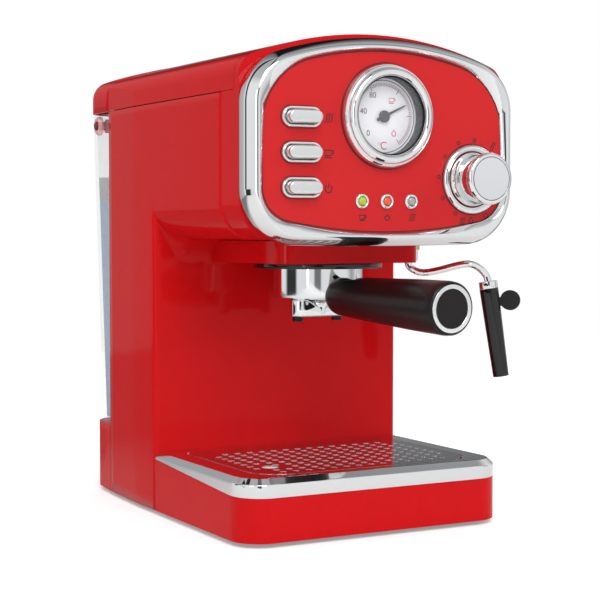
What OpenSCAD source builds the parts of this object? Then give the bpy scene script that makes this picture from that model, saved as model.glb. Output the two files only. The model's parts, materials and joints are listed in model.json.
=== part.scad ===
// Pump espresso machine: an arched head over a cup space, a lift-out water tank
// behind the column and a slide-out drip tray. Millimetres. +Z is up, the front
// faces -Y, X = 0 is the mid-plane and the feet stand on z = 0.

/* [Front frame] */
// Width of the chrome front frame
bezel_w = 191.6; // [184:0.2:204]
// Height of the frame's arched top above the table
bezel_top = 310; // [304:1:316]
// Height of the frame's bottom edge above the table
bezel_bottom = 182; // [178:1:186]
// Radius of the arched top
arch_r = 245; // [220:5:360]
// Radius of the upper corners
top_corner_r = 33; // [16:1:40]
// Radius of the slightly bowed bottom edge
bottom_r = 2400; // [1500:100:4000]
// Radius of the lower corners
bottom_corner_r = 34; // [20:1:40]
// Y place of the frame's foremost crest
bezel_front_y = -128; // [-134:1:-124]
// Depth of the frame from its crest to its back
bezel_depth = 16; // [14:0.5:20]

/* [Control panel] */
// Distance of the panel inside the frame's sides
panel_side = 9; // [8:0.1:13]
// Distance of the panel's top edge below the frame's top
panel_drop = 8; // [7:0.5:14]
// Distance of the panel's bottom edge above the frame's bottom
panel_rise = 8.4; // [7:0.2:13]
// Radius of the panel's arched top
panel_arch_r = 210; // [190:2:240]
// Radius of the panel's upper corners
panel_corner_r = 44; // [28:1:50]
// Radius of the panel's bowed bottom
panel_bottom_r = 370; // [320:10:600]
// Radius of the panel's lower corners
panel_low_r = 22; // [16:1:26]
// Depth of the panel's face behind the frame's crest
panel_recess = 3.4; // [2.5:0.1:4.5]
// Thickness of the panel
panel_t = 2.5; // [2:0.1:3]
// Width of the panel's hidden border behind the frame
panel_border = 2.4; // [1.5:0.1:2.8]

/* [Body] */
// Distance of the head's floor above the front frame's bottom edge
shell_inset = 2.8; // [2:0.1:4]
// Distance of the red sides inside the front frame's sides
shell_side_in = 0.6; // [0:0.1:2]
// Height of the roof above the front frame's arch
roof_rise = 3; // [0:0.5:5]
// Radius of the roof's side edges
roof_corner_r = 13; // [8:1:20]
// Radius of the head's lower side edges
head_edge_r = 24.2; // [18:0.2:30]
// Wall of the shell
wall = 2.5; // [2:0.1:3]
// Gap at the seams between covers
seam_gap = 0.3; // [0.2:0.05:0.5]
// Distance of the seam under the roof below the frame's top
seam_drop = 34; // [30:1:40]
// Y place of the seam behind the front frame
frame_split_y = -88; // [-94:1:-80]
// Y place of the roof's front edge
roof_front_y = -105; // [-108:1:-98]
// Y place of the column's front face
column_front_y = 16; // [12:1:22]
// Y place of the body's back
body_rear_y = 102; // [98:1:110]
// Narrowing of the body towards its back, over both sides
rear_narrowing = 4.8; // [2:0.2:8]
// Y place where the sides begin to taper
taper_y = 50; // [40:1:60]
// Radius of the column's front edges
column_edge_r = 4; // [3:0.5:6]
// Radius of the fillet between the head and the column
fillet_r = 18; // [12:1:24]
// Height of the feet
foot_h = 3; // [2.5:0.5:5]
// Radius of the feet
foot_r = 9; // [7:0.5:11]
// Thickness of the base plate
base_plate_t = 2.5; // [2:0.1:3.5]

/* [Rear base] */
// Height of the platform that the tank stands on
platform_z = 51; // [46:1:56]
// Y place of the rear base's back
base_rear_y = 146; // [142:1:152]
// Radius of the rear base's corners
base_corner_r = 20; // [14:1:26]
// Radius of the cord gland's bore
gland_r = 3.5; // [3:0.1:4.5]

/* [Water tank] */
// Y place of the tank's back at the top
tank_top_y = 154.5; // [142:0.5:160]
// Y place of the tank's back at the bottom
tank_low_y = 138; // [126:1:140]
// Distance of the tank inside the body's sides
tank_side = 4.8; // [3:0.1:8]
// Radius of the tank's corners
tank_corner_r = 13; // [8:1:16]
// Wall of the tank
tank_wall = 2.4; // [2:0.1:3]
// Gap between the tank and what stands around it
tank_gap = 0.5; // [0.3:0.1:1]
// Y place of the tank's lid hinge
lid_hinge_y = 157; // [147:0.5:162]
// Wall of the lid
lid_wall = 2.4; // [2:0.1:3]
// Reach of the tank's carrying handle
bail_reach = 16; // [14:1:22]
// Gap between the carrying handle's bar and the tank's front wall
bail_front_gap = 8; // [4:0.5:10]
// Radius of the carrying handle's bar
bail_r = 2.5; // [2:0.1:3]
// Radius of the tank's outlet valve
tank_valve_r = 9; // [7:0.5:11]

/* [Group] */
// Y place of the group's axis
group_y = -37.5; // [-42:0.5:-34]
// Width of the red group block
block_w = 104; // [94:1:110]
// Y place of the group block's front
block_front_y = -85; // [-90:1:-80]
// Height of the group block below the head
block_h = 14.4; // [12:0.2:18]
// Radius of the black group disc
disc_r = 43; // [40:0.5:50]
// Thickness of the black group disc
disc_t = 3.7; // [3:0.1:5]
// Radius of the collar that holds the portafilter
collar_r = 39.5; // [38.5:0.5:41]
// Running clearance of turning fits
turn_gap = 0.35; // [0.3:0.05:0.5]

/* [Portafilter] */
// Outer radius of the portafilter's body
filter_r = 30; // [28:0.5:31]
// Height of the body below the group disc
filter_drop = 19.2; // [16:0.2:24]
// Wall of the portafilter's body
filter_wall = 3; // [2.5:0.1:3.5]
// Radius of the bayonet lugs
lug_r = 34.6; // [33.6:0.1:35]
// Width of the double spout
spout_w = 41; // [36:1:46]
// Depth of the double spout
spout_d = 14; // [12:0.5:18]
// Height of the double spout
spout_h = 12.4; // [11:0.2:15]
// Distance between the two outlets
outlet_pitch = 31.2; // [26:0.2:33]
// Angle of the locked handle from straight ahead
handle_angle = 4; // [0:1:12]
// Droop of the handle below level
handle_droop = 1.35; // [0:0.05:4]
// Distance of the handle's end from the group's axis
handle_reach = 145; // [135:1:155]
// Diameter of the handle at the group
handle_d0 = 24.2; // [22:0.2:26]
// Diameter of the handle at its end
handle_d1 = 32.8; // [30:0.2:36]

/* [Steam wand] */
// Distance of the wand's swivel inside the shell's side
wand_in = 24.7; // [20:0.1:30]
// Y place of the wand's swivel
wand_y = -40; // [-46:1:-34]
// Angle of the wand from straight right, towards the front
wand_turn = 28; // [20:1:40]
// Radius of the wand's tube
wand_r = 2.45; // [2.2:0.05:2.8]
// Tilt of the frother outward
frother_tilt = 8.2; // [4:0.2:12]
// Length of the frother sleeve
frother_len = 61; // [50:1:70]
// Radius of the frother sleeve at its top
frother_r0 = 6.5; // [6:0.1:7.5]
// Radius of the frother sleeve at its bottom
frother_r1 = 5.4; // [4.8:0.1:6]
// Radius of the frother's grip disc
grip_r = 6.9; // [5.5:0.1:8]

/* [Controls] */
// Distance of the push buttons' middle inside the panel's side
button_in = 26.8; // [26:0.1:32]
// Height of the middle button above the panel's bottom edge
button_rise = 48.2; // [44:0.2:52]
// Distance between the buttons
button_pitch = 21.1; // [18:0.1:23]
// Width of a button's chrome ring
button_ring_w = 27.6; // [26:0.2:30]
// Height of a button's chrome ring
button_ring_h = 13; // [12:0.2:14.4]
// Width of the ring's rim around the cap
button_rim = 2.2; // [2:0.1:2.6]
// Travel of a button
button_travel = 2.5; // [1.5:0.1:3]
// Distance of the gauge's centre below the panel's top edge
gauge_drop = 40; // [36:0.5:42]
// Outer radius of the gauge's ring
gauge_ring_r = 32.3; // [30:0.1:33]
// Radius of the gauge's opening
gauge_r = 24; // [22:0.1:25]
// Height of the gauge's ring above the panel
gauge_ring_h = 8.4; // [6:0.1:10]
// Distance between the lamps
lamp_pitch = 17.8; // [15:0.1:19]
// Height of the lamps above the panel's bottom edge
lamp_rise = 19.3; // [16:0.1:22]
// Radius of a lamp's chrome ring
lamp_ring_r = 4.75; // [4.2:0.05:5.5]
// Distance of the steam knob's axis inside the panel's side
knob_in = 23.3; // [22:0.1:28]
// Height of the steam knob's axis above the panel's bottom edge
knob_rise = 33.6; // [30:0.2:36]
// Outer radius of the knob's ring
knob_ring_r = 22.1; // [20:0.1:22.5]
// Radius of the knob's face
knob_face_r = 13.85; // [12.5:0.05:15]
// Height of the knob's face above the panel
knob_h = 22; // [18:0.5:26]

/* [Drip tray] */
// Distance of the drip tray inside the frame's sides
tray_side_in = 0.5; // [0:0.5:10]
// Y place of the tray's front
tray_front_y = -119; // [-124:1:-114]
// Radius of the tray's front corners
tray_corner_r = 20; // [14:1:26]
// Wall of the tray
tray_wall = 2.4; // [2:0.1:3]
// Height of the chrome trim's lower edge at the front
trim_low_z = 30.2; // [26:0.2:33]
// Height of the chrome trim's lower edge at the column
trim_rear_z = 38; // [35:0.2:38.8]
// Height of the chrome trim's top
trim_top_z = 42.5; // [41:0.1:46]
// Distance of the drip grid inside the tray's sides
grid_in = 17.5; // [11.5:0.5:22]
// Distance between the grid's holes
grid_pitch = 9.1; // [8:0.1:11]
// Diameter of the grid's holes
grid_hole_d = 5; // [4:0.1:5.6]
// Diameter of the grid's finger hole
finger_d = 11; // [9:0.5:13]
// Distance of the finger hole from the grid's side
finger_side = 20.4; // [18:0.2:26]
// Distance of the finger hole from the grid's front edge
finger_in = 30; // [26:1:36]

/* [Hidden] */
$fn = 72;
SLICE = 0.05;                                   // thickness of a loft's end slices
ARC_STEPS = 12;                                 // segments in each arc of an outline
bezel_rear_y = bezel_front_y + bezel_depth;
panel_y = bezel_front_y + panel_recess;         // the panel's face
shell_half = bezel_w / 2 - shell_side_in;
roof_top_z = bezel_top + roof_rise;
panel_w = bezel_w - 2 * panel_side;
panel_top = bezel_top - panel_drop;
panel_bottom = bezel_bottom + panel_rise;
seam_z = bezel_top - seam_drop;
rear_w = 2 * shell_half - rear_narrowing;
tank_w = rear_w - 2 * tank_side;
wand_x = shell_half - wand_in;
button_x = -(panel_w / 2 - button_in);
button_z = panel_bottom + button_rise;
gauge_z = panel_top - gauge_drop;
lamp_z = panel_bottom + lamp_rise;
knob_x = panel_w / 2 - knob_in;
knob_z = panel_bottom + knob_rise;
tray_w = bezel_w - 2 * tray_side_in;
grid_half_w = tray_w / 2 - grid_in;
finger_x = -(grid_half_w - finger_side);
head_floor_z = bezel_bottom + shell_inset;      // underside of the head
head_inner_z = head_floor_z + wall;
block_z = head_floor_z - block_h;               // underside of the group block
disc_z = block_z - disc_t;                      // underside of the black disc
filter_z = disc_z - filter_drop;                // underside of the portafilter's body
filter_rim_z = block_z + 7.6;                   // rim of the portafilter's body
spout_z = filter_z - 1 - spout_h;               // underside of the spout
base_plate_z = foot_h + 0.2;
base_top_z = base_plate_z + base_plate_t;
tray_rear_y = column_front_y - 0.5;
tray_floor_z = foot_h + 6;                      // underside of the basin's floor
basin_z = tray_floor_z + 2;                     // top of the basin's floor
tank_z = platform_z + 0.3;
tank_rim_z = seam_z - 0.6;
tank_front_y = body_rear_y + tank_gap;
lid_front_y = body_rear_y + tank_gap;
lid_hinge_z = seam_z + 2;
lug_z = block_z + 2;                            // underside of the lugs
lug_h = 3;
gasket_z = filter_rim_z + 1.1;                  // the basket's rim lies between
collar_plate_z = gasket_z + 3.9;                // underside of the collar's top plate
collar_top_z = head_inner_z + 3;
boiler_r = 37;
boiler_h = 42;
boiler_top_z = collar_top_z + boiler_h;
valve_len = 43.5;                               // steam valve behind the panel
valve_rear_y = panel_y + panel_t + valve_len;
valve_r = 10;
spindle_r = 3;
spindle_gap = 0.05;
board_depth = 20;                               // circuit board behind the panel's face
wand_pivot_r = 4;
wand_pivot_gap = 0.05;
wand_top_z = block_z + 0.1;                     // where the tube leaves its nut
collar_len = 4.6;                               // chrome collar of the wand
tip_r = 2.42;
tip_len = 36;
needle_angle = 25;                              // needle above straight right, at rest
dial_h = -4;                                    // dial's face above the panel's face
glass_h = 3.2;
gauge_sleeve = 6;                               // gauge ring's sleeve behind the panel
handle_start = filter_r - 3;                    // handle's root, inside the saddle cut
handle_z = filter_z + 1;                        // handle's axis at its root
handle_len = handle_reach - handle_start;
neck_r = 6;
clip_h = 17;                                    // clip's pivot along the handle
clip_y = 9.2;                                   // clip's pivot above the handle's axis
clip_pin_r = 1.2;
// pivot of the tank's carrying handle
bail_y = tank_front_y + tank_wall + bail_front_gap + bail_r + bail_reach;
bail_z = tank_rim_z - 8;
bail_half = tank_w / 2 - tank_wall - 4;
grid_front_y = tray_front_y + 10;
grid_rear_y = tray_rear_y - 11;
grid_gap = 0.8;
grid_top_z = trim_top_z + 0.2;
grid_t = 1.2;
tank_seat_y = tank_front_y + 15;
pump_x = -45;
pump_y = 62;
pump_z = 30;
pump_h = 66;
screw_r = 1.5;
screw_xs = [shell_half - 9, rear_w / 2 - 9];
screw_ys = [column_front_y + 14, body_rear_y - 14];
foot_x = tray_w / 2 - 20.8;
foot_ys = [tray_front_y + 24, base_rear_y - 26];

// ---- shapes shared by the sub-parts ----

function arc(cx, cy, r, a0, a1, first = 0) =
    [for (i = [first : ARC_STEPS])
        let (a = a0 + (a1 - a0) * i / ARC_STEPS) [cx + r * cos(a), cy + r * sin(a)]];

// Outline with an arched top, a bowed bottom and rounded corners
function arched(w, top, bottom, top_r, corner_r, low_r, low_corner_r) =
    let (
        hw = w / 2,
        top_c = top - top_r,
        corner_c = top_c + sqrt(pow(top_r - corner_r, 2) - pow(hw - corner_r, 2)),
        corner_a = atan2(corner_c - top_c, hw - corner_r),
        low_c = bottom + low_r,
        low_corner_c = low_c - sqrt(pow(low_r - low_corner_r, 2) - pow(hw - low_corner_r, 2)),
        low_a = atan2(low_c - low_corner_c, hw - low_corner_r),
        right = concat(
            arc(0, low_c, low_r, -90, -low_a),
            arc(hw - low_corner_r, low_corner_c, low_corner_r, -low_a, 0, 1),
            arc(hw - corner_r, corner_c, corner_r, 0, corner_a),
            arc(0, top_c, top_r, corner_a, 90, 1)))
    concat(right, [for (i = [len(right) - 2 : -1 : 1]) [-right[i][0], right[i][1]]]);

function bezel_outline(inset) = arched(
    bezel_w - 2 * inset, bezel_top - inset, bezel_bottom + inset, arch_r - inset,
    top_corner_r - inset, bottom_r - inset, bottom_corner_r - inset);

function panel_outline(grow) = arched(
    panel_w + 2 * grow, panel_top + grow, panel_bottom - grow, panel_arch_r + grow,
    panel_corner_r + grow, panel_bottom_r + grow, panel_low_r + grow);

// A shape drawn in X and Z, extruded from y0 to y1
module along_y(y0, y1) {
    translate([0, y1, 0]) rotate([90, 0, 0]) linear_extrude(y1 - y0) children();
}

// A shape drawn in Y and Z, extruded over the width
module along_x(half) {
    translate([-half, 0, 0]) rotate([90, 0, 90]) linear_extrude(2 * half) children();
}

// Local X and Y lie in the panel's face and local Z points out of it
module on_panel(x, z, h = 0) {
    translate([x, panel_y - h, z]) rotate([90, 0, 0]) children();
}

module stadium(w, h) {
    hull() {
        translate([-(w - h) / 2, 0]) circle(d = h, $fn = 32);
        translate([(w - h) / 2, 0]) circle(d = h, $fn = 32);
    }
}

module tube(r_out, r_in, h) {
    difference() {
        cylinder(r = r_out, h = h);
        translate([0, 0, -1]) cylinder(r = r_in, h = h + 2);
    }
}

// A round bar swept along a path
function unit(v) = v / norm(v);
function path_dir(p, i) = unit(p[min(i + 1, len(p) - 1)] - p[max(i - 1, 0)]);
function path_side(d) = unit(cross(abs(d[2]) < 0.9 ? [0, 0, 1] : [1, 0, 0], d));
// One side vector per point, carried along so that the bar doesn't twist
function sides_along(p, i = 0, u = [0, 0, 0]) =
    i == len(p) ? [] :
    let (d = path_dir(p, i), w = i == 0 ? path_side(d) : unit(u - (u * d) * d))
    concat([w], sides_along(p, i + 1, w));
function ring_at(p, i, u, r, n) =
    let (v = cross(path_dir(p, i), u))
    [for (k = [0 : n - 1]) p[i] + r * (cos(360 * k / n) * u + sin(360 * k / n) * v)];
function spline_point(a, b, c, d, t) =
    0.5 * ((2 * b) + (c - a) * t + (2 * a - 5 * b + 4 * c - d) * t * t
        + (3 * b - a - 3 * c + d) * t * t * t);
function smooth_path(p, steps = 3) = concat(
    [for (i = [0 : len(p) - 2], s = [0 : steps - 1])
        spline_point(p[max(i - 1, 0)], p[i], p[i + 1], p[min(i + 2, len(p) - 1)], s / steps)],
    [p[len(p) - 1]]);

module swept(path, r, sides = 10) {
    n = len(path);
    last = (n - 1) * sides;
    across = sides_along(path);
    polyhedron(
        points = [for (i = [0 : n - 1]) each ring_at(path, i, across[i], r, sides)],
        faces = concat(
            [[for (k = [0 : sides - 1]) k]],
            [for (i = [0 : n - 2], k = [0 : sides - 1])
                [i * sides + k, (i + 1) * sides + k,
                 (i + 1) * sides + (k + 1) % sides, i * sides + (k + 1) % sides]],
            [[for (k = [sides - 1 : -1 : 0]) last + k]]));
}

// ---- body ----

// Plan of the body, tapering towards the back
module body_plan(inset, rear = 0) {
    half = shell_half - inset;
    rear_half = rear_w / 2 - inset;
    polygon([
        [-half, bezel_rear_y - 2], [half, bezel_rear_y - 2], [half, taper_y],
        [rear_half, body_rear_y + rear], [-rear_half, body_rear_y + rear], [-half, taper_y]
    ]);
}

module column_plan(inset) {
    edge_r = column_edge_r - inset / 2;
    offset(r = edge_r, $fn = 24) offset(delta = -edge_r)
        intersection() {
            body_plan(inset, rear = 10);
            translate([-bezel_w, column_front_y + inset])
                square([2 * bezel_w, body_rear_y - column_front_y + 20]);
        }
}

module head_prism(inset, y0, y1) {
    along_y(y0, y1) polygon(arched(
        2 * (shell_half - inset), roof_top_z - inset, head_floor_z + inset, arch_r - inset,
        roof_corner_r - inset, bottom_r - inset, head_edge_r - inset));
}

// Fillet between the head's floor and the column, rounded at its sides like the head
module head_fillet() {
    axis_y = column_front_y - fillet_r;
    axis_z = head_floor_z - fillet_r + 1;
    side_r = head_edge_r;
    reach = 1.5 * fillet_r;
    turn = acos((side_r - (reach - fillet_r)) / side_r);
    edge = [for (i = [0 : 12]) let (a = turn * i / 12)
        [fillet_r + side_r * (1 - cos(a)), shell_half - side_r * (1 - sin(a))]];
    intersection() {
        translate([0, axis_y, axis_z]) rotate([0, 90, 0]) rotate_extrude()
            polygon(concat(edge, [for (i = [12 : -1 : 0]) [edge[i][0], -edge[i][1]]]));
        along_x(shell_half) translate([axis_y, axis_z]) square([fillet_r + 0.5, fillet_r + 1]);
    }
}

// Outside of the head and column below the seam, with the fillet between them
module shell_form() {
    intersection() {
        union() {
            head_prism(0, frame_split_y + seam_gap, body_rear_y);
            translate([0, 0, foot_h]) linear_extrude(seam_z - foot_h) column_plan(0);
        }
        translate([0, 0, foot_h]) linear_extrude(seam_z - foot_h) body_plan(0);
    }
    difference() {
        head_fillet();
        translate([0, 0, block_z - 10]) linear_extrude(block_h + 10) group_block_plan(-0.3);
    }
}

module shell_inside() {
    intersection() {
        union() {
            head_prism(wall, frame_split_y - 1, body_rear_y + 1);
            translate([0, 0, foot_h - 1]) linear_extrude(seam_z) column_plan(wall);
        }
        translate([0, 0, foot_h - 2]) linear_extrude(seam_z) body_plan(wall, rear = 1);
    }
}

module head_shell() {
    color("firebrick") difference() {
        shell_form();
        shell_inside();
        translate([-bezel_w, column_front_y, 0]) cube([2 * bezel_w, bezel_w, 2 * bezel_w]);
        translate([0, group_y, head_floor_z - 1]) cylinder(r = collar_r + 0.5, h = wall + 2);
        translate([wand_x, wand_y, head_floor_z - 1]) cylinder(r = 7.8, h = wall + 6);
    }
}

module column_shell() {
    color("firebrick") {
        difference() {
            shell_form();
            shell_inside();
            translate([-bezel_w, column_front_y - bezel_w, 0])
                cube([2 * bezel_w, bezel_w, 2 * bezel_w]);
            // the base plate reaches under the tray through this notch
            translate([-tray_w / 2 + tray_wall + 0.3, column_front_y - 1, foot_h - 1])
                cube([tray_w - 2 * tray_wall - 0.6, wall + 2, base_top_z - foot_h + 1.3]);
        }
        for (i = [0, 1], side = [-1, 1])
            translate([side * screw_xs[i], screw_ys[i], base_top_z])
                mirror([side < 0 ? 1 : 0, 0, 0]) difference() {
                    union() {
                        cylinder(r = 4.5, h = 13);
                        translate([0, -1, 0]) cube([wall + 5.6, 2, 13]);
                    }
                    translate([0, 0, -1]) cylinder(r = screw_r + 0.05, h = 11.7);
                }
    }
}

module rear_panel() {
    color("firebrick") intersection() {
        translate([0, 0, platform_z - 2]) linear_extrude(seam_z - platform_z + 2 - seam_gap)
            body_plan(wall + 0.2);
        translate([-bezel_w, body_rear_y - wall, 0]) cube([2 * bezel_w, wall, bezel_top]);
    }
}

module top_cover() {
    color("firebrick") intersection() {
        difference() {
            head_prism(0, roof_front_y, body_rear_y);
            intersection() {
                head_prism(wall, roof_front_y - 1, body_rear_y - wall);
                linear_extrude(roof_top_z + 1) body_plan(wall);
            }
        }
        translate([0, 0, seam_z + seam_gap]) linear_extrude(bezel_top) body_plan(0);
    }
}

module front_frame() {
    color("firebrick") difference() {
        head_prism(0, bezel_rear_y, frame_split_y);
        head_prism(wall, bezel_rear_y + wall, frame_split_y + 1);
        // the front edge reaches in behind the chrome frame's rounder corners
        intersection() {
            head_prism(wall, bezel_rear_y - 1, frame_split_y);
            along_y(bezel_rear_y - 1, bezel_rear_y + wall + 1) polygon(bezel_outline(4));
        }
        translate([-bezel_w, roof_front_y - seam_gap, seam_z])
            cube([2 * bezel_w, -roof_front_y, bezel_top]);
    }
}

module bezel() {
    sections = [
        [bezel_rear_y, 1.6], [bezel_rear_y + -7.5, 0], [bezel_front_y + 3.4, 1.3],
        [bezel_front_y + 0.6, 4], [bezel_front_y + SLICE, 5.6]
    ];
    color("silver") difference() {
        hull() for (s = sections)
            along_y(s[0] - SLICE, s[0]) polygon(bezel_outline(s[1]));
        hull() {
            along_y(bezel_front_y - 1, bezel_front_y) polygon(bezel_outline(7));
            along_y(panel_y - 0.8, panel_y - 0.8 + SLICE) polygon(panel_outline(0));
        }
        along_y(panel_y - 1, panel_y + 1) polygon(panel_outline(0));
        along_y(panel_y, bezel_rear_y + 1) polygon(panel_outline(panel_border + 0.3));
    }
}

module rear_base_plan(inset) {
    half = rear_w / 2 - inset;
    r = base_corner_r - inset;
    hull() {
        for (side = [-1, 1]) translate([side * (half - 2.5 - r), base_rear_y - inset - r])
            circle(r = r, $fn = 48);
        translate([-half, body_rear_y]) square([2 * half, 1]);
    }
}

module rear_base() {
    color("firebrick") difference() {
        translate([0, 0, foot_h]) linear_extrude(platform_z - foot_h) rear_base_plan(0);
        intersection() {
            translate([0, 0, foot_h - 1]) linear_extrude(platform_z - foot_h - wall + 1)
                rear_base_plan(wall);
            translate([-bezel_w, body_rear_y - 1, 0]) cube([2 * bezel_w, 100, platform_z]);
        }
        translate([0, tank_seat_y, platform_z - wall - 1]) cylinder(r = tank_valve_r + 4.3, h = wall + 2);
        translate([55, base_rear_y + 1, 22]) rotate([90, 0, 0]) cylinder(r = 8.2, h = wall + 2);
    }
}

module cord_gland() {
    color("#202020") translate([55, base_rear_y + 4, 22]) rotate([90, 0, 0]) difference() {
        union() {
            cylinder(r = 8, h = 4 + wall + 4);
            cylinder(r1 = 8.6, r2 = 10.5, h = 3.9);
            translate([0, 0, 4 + wall + 0.1]) cylinder(r = 10, h = 3.9);
        }
        translate([0, 0, -1]) cylinder(r = gland_r, h = 20);
    }
}

module base_plate() {
    color("#282828") difference() {
        union() {
            translate([0, 0, base_plate_z]) linear_extrude(base_plate_t) {
                tray_plan(tray_wall + 0.6, rear = 4);
                difference() {
                    column_plan(wall + 0.4);
                    translate([-bezel_w, body_rear_y + 1]) square([2 * bezel_w, 40]);
                }
                rear_base_plan(wall + 0.4);
            }
            // tall bars that carry the tray's floor
            for (side = [-1, 1]) translate([side * 60 - 4, tray_front_y + 25, base_top_z - 1])
                cube([8, 100, tray_floor_z - base_top_z + 0.7]);
            // posts that carry the pump's rubber mounts
            translate([pump_x - 14, pump_y - 14, base_top_z - 1]) cube([28, 5, pump_z - base_top_z + 1]);
            translate([pump_x - 14, pump_y + 9, base_top_z - 1]) cube([28, 5, pump_z - base_top_z + 1]);
        }
        for (i = [0, 1], side = [-1, 1])
            translate([side * screw_xs[i], screw_ys[i], base_plate_z - 1]) {
                cylinder(r = screw_r + 0.05, h = 30);
                cylinder(r = 3.2, h = 2.6);
            }
    }
}

module base_screws() {
    color("#b0b0b0") for (i = [0, 1], side = [-1, 1])
        translate([side * screw_xs[i], screw_ys[i], base_plate_z]) {
            cylinder(r = screw_r, h = 12);
            cylinder(r = 3, h = 1.6);
        }
}

module rubber_feet() {
    color("#1c1c1c") for (x = [-foot_x, foot_x], y = foot_ys)
        translate([x, y, 0]) {
            cylinder(r1 = foot_r - 1, r2 = foot_r, h = 1);
            translate([0, 0, 1]) cylinder(r = foot_r, h = base_plate_z - 1);
        }
}

// ---- control panel ----

module control_panel() {
    color("red") difference() {
        union() {
            along_y(panel_y, panel_y + panel_t) polygon(panel_outline(panel_border));
            // posts that carry the circuit board
            for (x = [button_x - 17, button_x + 17], z = [button_z - 32, button_z + 30])
                on_panel(x, z, -board_depth) cylinder(r = 2.5, h = board_depth - 1);
        }
        on_panel(0, gauge_z, -panel_t - 1) cylinder(r = gauge_r + 1.7, h = panel_t + 2);
        for (i = [-1, 0, 1]) {
            on_panel(button_x, button_z + i * button_pitch, -panel_t - 1) linear_extrude(panel_t + 2)
                stadium(button_ring_w - 1.6, button_ring_h - 1.6);
            on_panel(i * lamp_pitch, lamp_z, -panel_t - 1) cylinder(r = 3.8, h = panel_t + 2);
        }
        on_panel(knob_x, knob_z, -panel_t - 1) cylinder(r = 6.3, h = panel_t + 2);
    }
}

module gauge_ring() {
    h = gauge_ring_h;
    r = gauge_ring_r;
    color("silver") on_panel(0, gauge_z) rotate_extrude() polygon([
        [gauge_r, -gauge_sleeve], [gauge_r + 1.4, -gauge_sleeve], [gauge_r + 1.4, 0], [r, 0],
        [r, 0.2 * h], [r - 0.5, 0.5 * h], [r - 1.7, 0.8 * h], [r - 3.6, 0.97 * h],
        [r - 5, h], [gauge_r + 1.6, 0.93 * h], [gauge_r + 0.4, 0.8 * h], [gauge_r, 0.66 * h]
    ]);
}

module gauge_housing() {
    color("#303030") on_panel(0, gauge_z) difference() {
        union() {
            translate([0, 0, -board_depth]) cylinder(r = gauge_r - 0.3, h = board_depth - 1 + dial_h);
            translate([0, 0, -gauge_sleeve - 3]) cylinder(r = gauge_r + 3.5, h = 3);
        }
        translate([0, 0, -board_depth + 2]) cylinder(r = gauge_r - 4, h = board_depth + dial_h - 6.6);
        translate([0, 0, -10]) cylinder(r = 0.85, h = 12);
    }
}

module gauge_dial() {
    color("white") on_panel(0, gauge_z, dial_h - 0.8) difference() {
        cylinder(r = gauge_r - 0.3, h = 0.8);
        translate([0, 0, -1]) cylinder(r = 1.2, h = 3);
    }
}

module gauge_glass() {
    color([0.8, 0.9, 0.95, 0.3]) on_panel(0, gauge_z, glass_h) cylinder(r = gauge_r - 0.15, h = 1);
}

module gauge_needle() {
    color("#202020") on_panel(0, gauge_z) {
        translate([0, 0, dial_h - 4.1]) cylinder(r = 0.8, h = 5);
        translate([0, 0, dial_h + 0.5]) cylinder(r = 3.4, h = 2.2);
        rotate([0, 0, needle_angle]) translate([0, 0, dial_h + 0.9]) linear_extrude(0.7)
            polygon([[-6.5, -1.1], [0, -1], [gauge_r - 8, -0.35], [gauge_r - 6.5, 0],
                     [gauge_r - 8, 0.35], [0, 1], [-6.5, 1.1]]);
    }
}

module button_rings() {
    color("silver") for (i = [-1, 0, 1]) on_panel(button_x, button_z + i * button_pitch)
        difference() {
            union() {
                linear_extrude(2.2) stadium(button_ring_w, button_ring_h);
                translate([0, 0, -4.5]) linear_extrude(4.6)
                    stadium(button_ring_w - 2, button_ring_h - 2);
            }
            translate([0, 0, -6]) linear_extrude(10)
                stadium(button_ring_w - 2 * button_rim, button_ring_h - 2 * button_rim);
        }
}

module push_button(row) {
    cap_w = button_ring_w - 2 * button_rim - 0.6;
    cap_h = button_ring_h - 2 * button_rim - 0.6;
    color("silver") on_panel(button_x, button_z + row * button_pitch) {
        translate([0, 0, -9]) linear_extrude(13.6) stadium(cap_w, cap_h);
        translate([0, 0, -board_depth + 4.3 + button_travel]) cylinder(r = 2, h = 8);
    }
}

module steam_button() { push_button(1); }
module brew_button() { push_button(0); }
module power_button() { push_button(-1); }

module control_board() {
    color("darkgreen") {
        on_panel(button_x, button_z - 1, -board_depth - 1.6) linear_extrude(1.6)
            square([42, 72], center = true);
        for (i = [-1, 0, 1]) {
            on_panel(button_x, button_z + i * button_pitch, -board_depth) linear_extrude(4)
                square([7, 7], center = true);
            on_panel(i * lamp_pitch, lamp_z, -board_depth) cylinder(r = 2.4, h = board_depth - 1.5);
        }
        on_panel(0, lamp_z, -board_depth - 1.6) linear_extrude(1.6)
            square([2 * (-button_x) - 41.9, 12], center = true);
    }
}

module lamp_rings() {
    color("silver") for (i = [-1, 0, 1]) on_panel(i * lamp_pitch, lamp_z) rotate_extrude()
        polygon([[2.75, -4], [3.6, -4], [3.6, 0], [lamp_ring_r, 0], [lamp_ring_r, 0.8],
                 [lamp_ring_r - 0.8, 1.6], [3.3, 1.6], [2.75, 0.9]]);
}

module lamp_lenses() {
    color("orange") for (i = [-1, 0, 1]) on_panel(i * lamp_pitch, lamp_z) rotate_extrude()
        polygon([[0, -1.2], [2.6, -1.2], [2.6, 0.9], [2.2, 1.5], [1.2, 2], [0, 2.1]]);
}

module knob_ring() {
    r = knob_ring_r;
    color("silver") on_panel(knob_x, knob_z) rotate_extrude() polygon([
        [r - 4.4, 0], [r, 0], [r, 0.8], [r - 0.7, 2.2], [r - 2, 3], [r - 3.4, 2.6], [r - 4.4, 1.4]
    ]);
}

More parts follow.
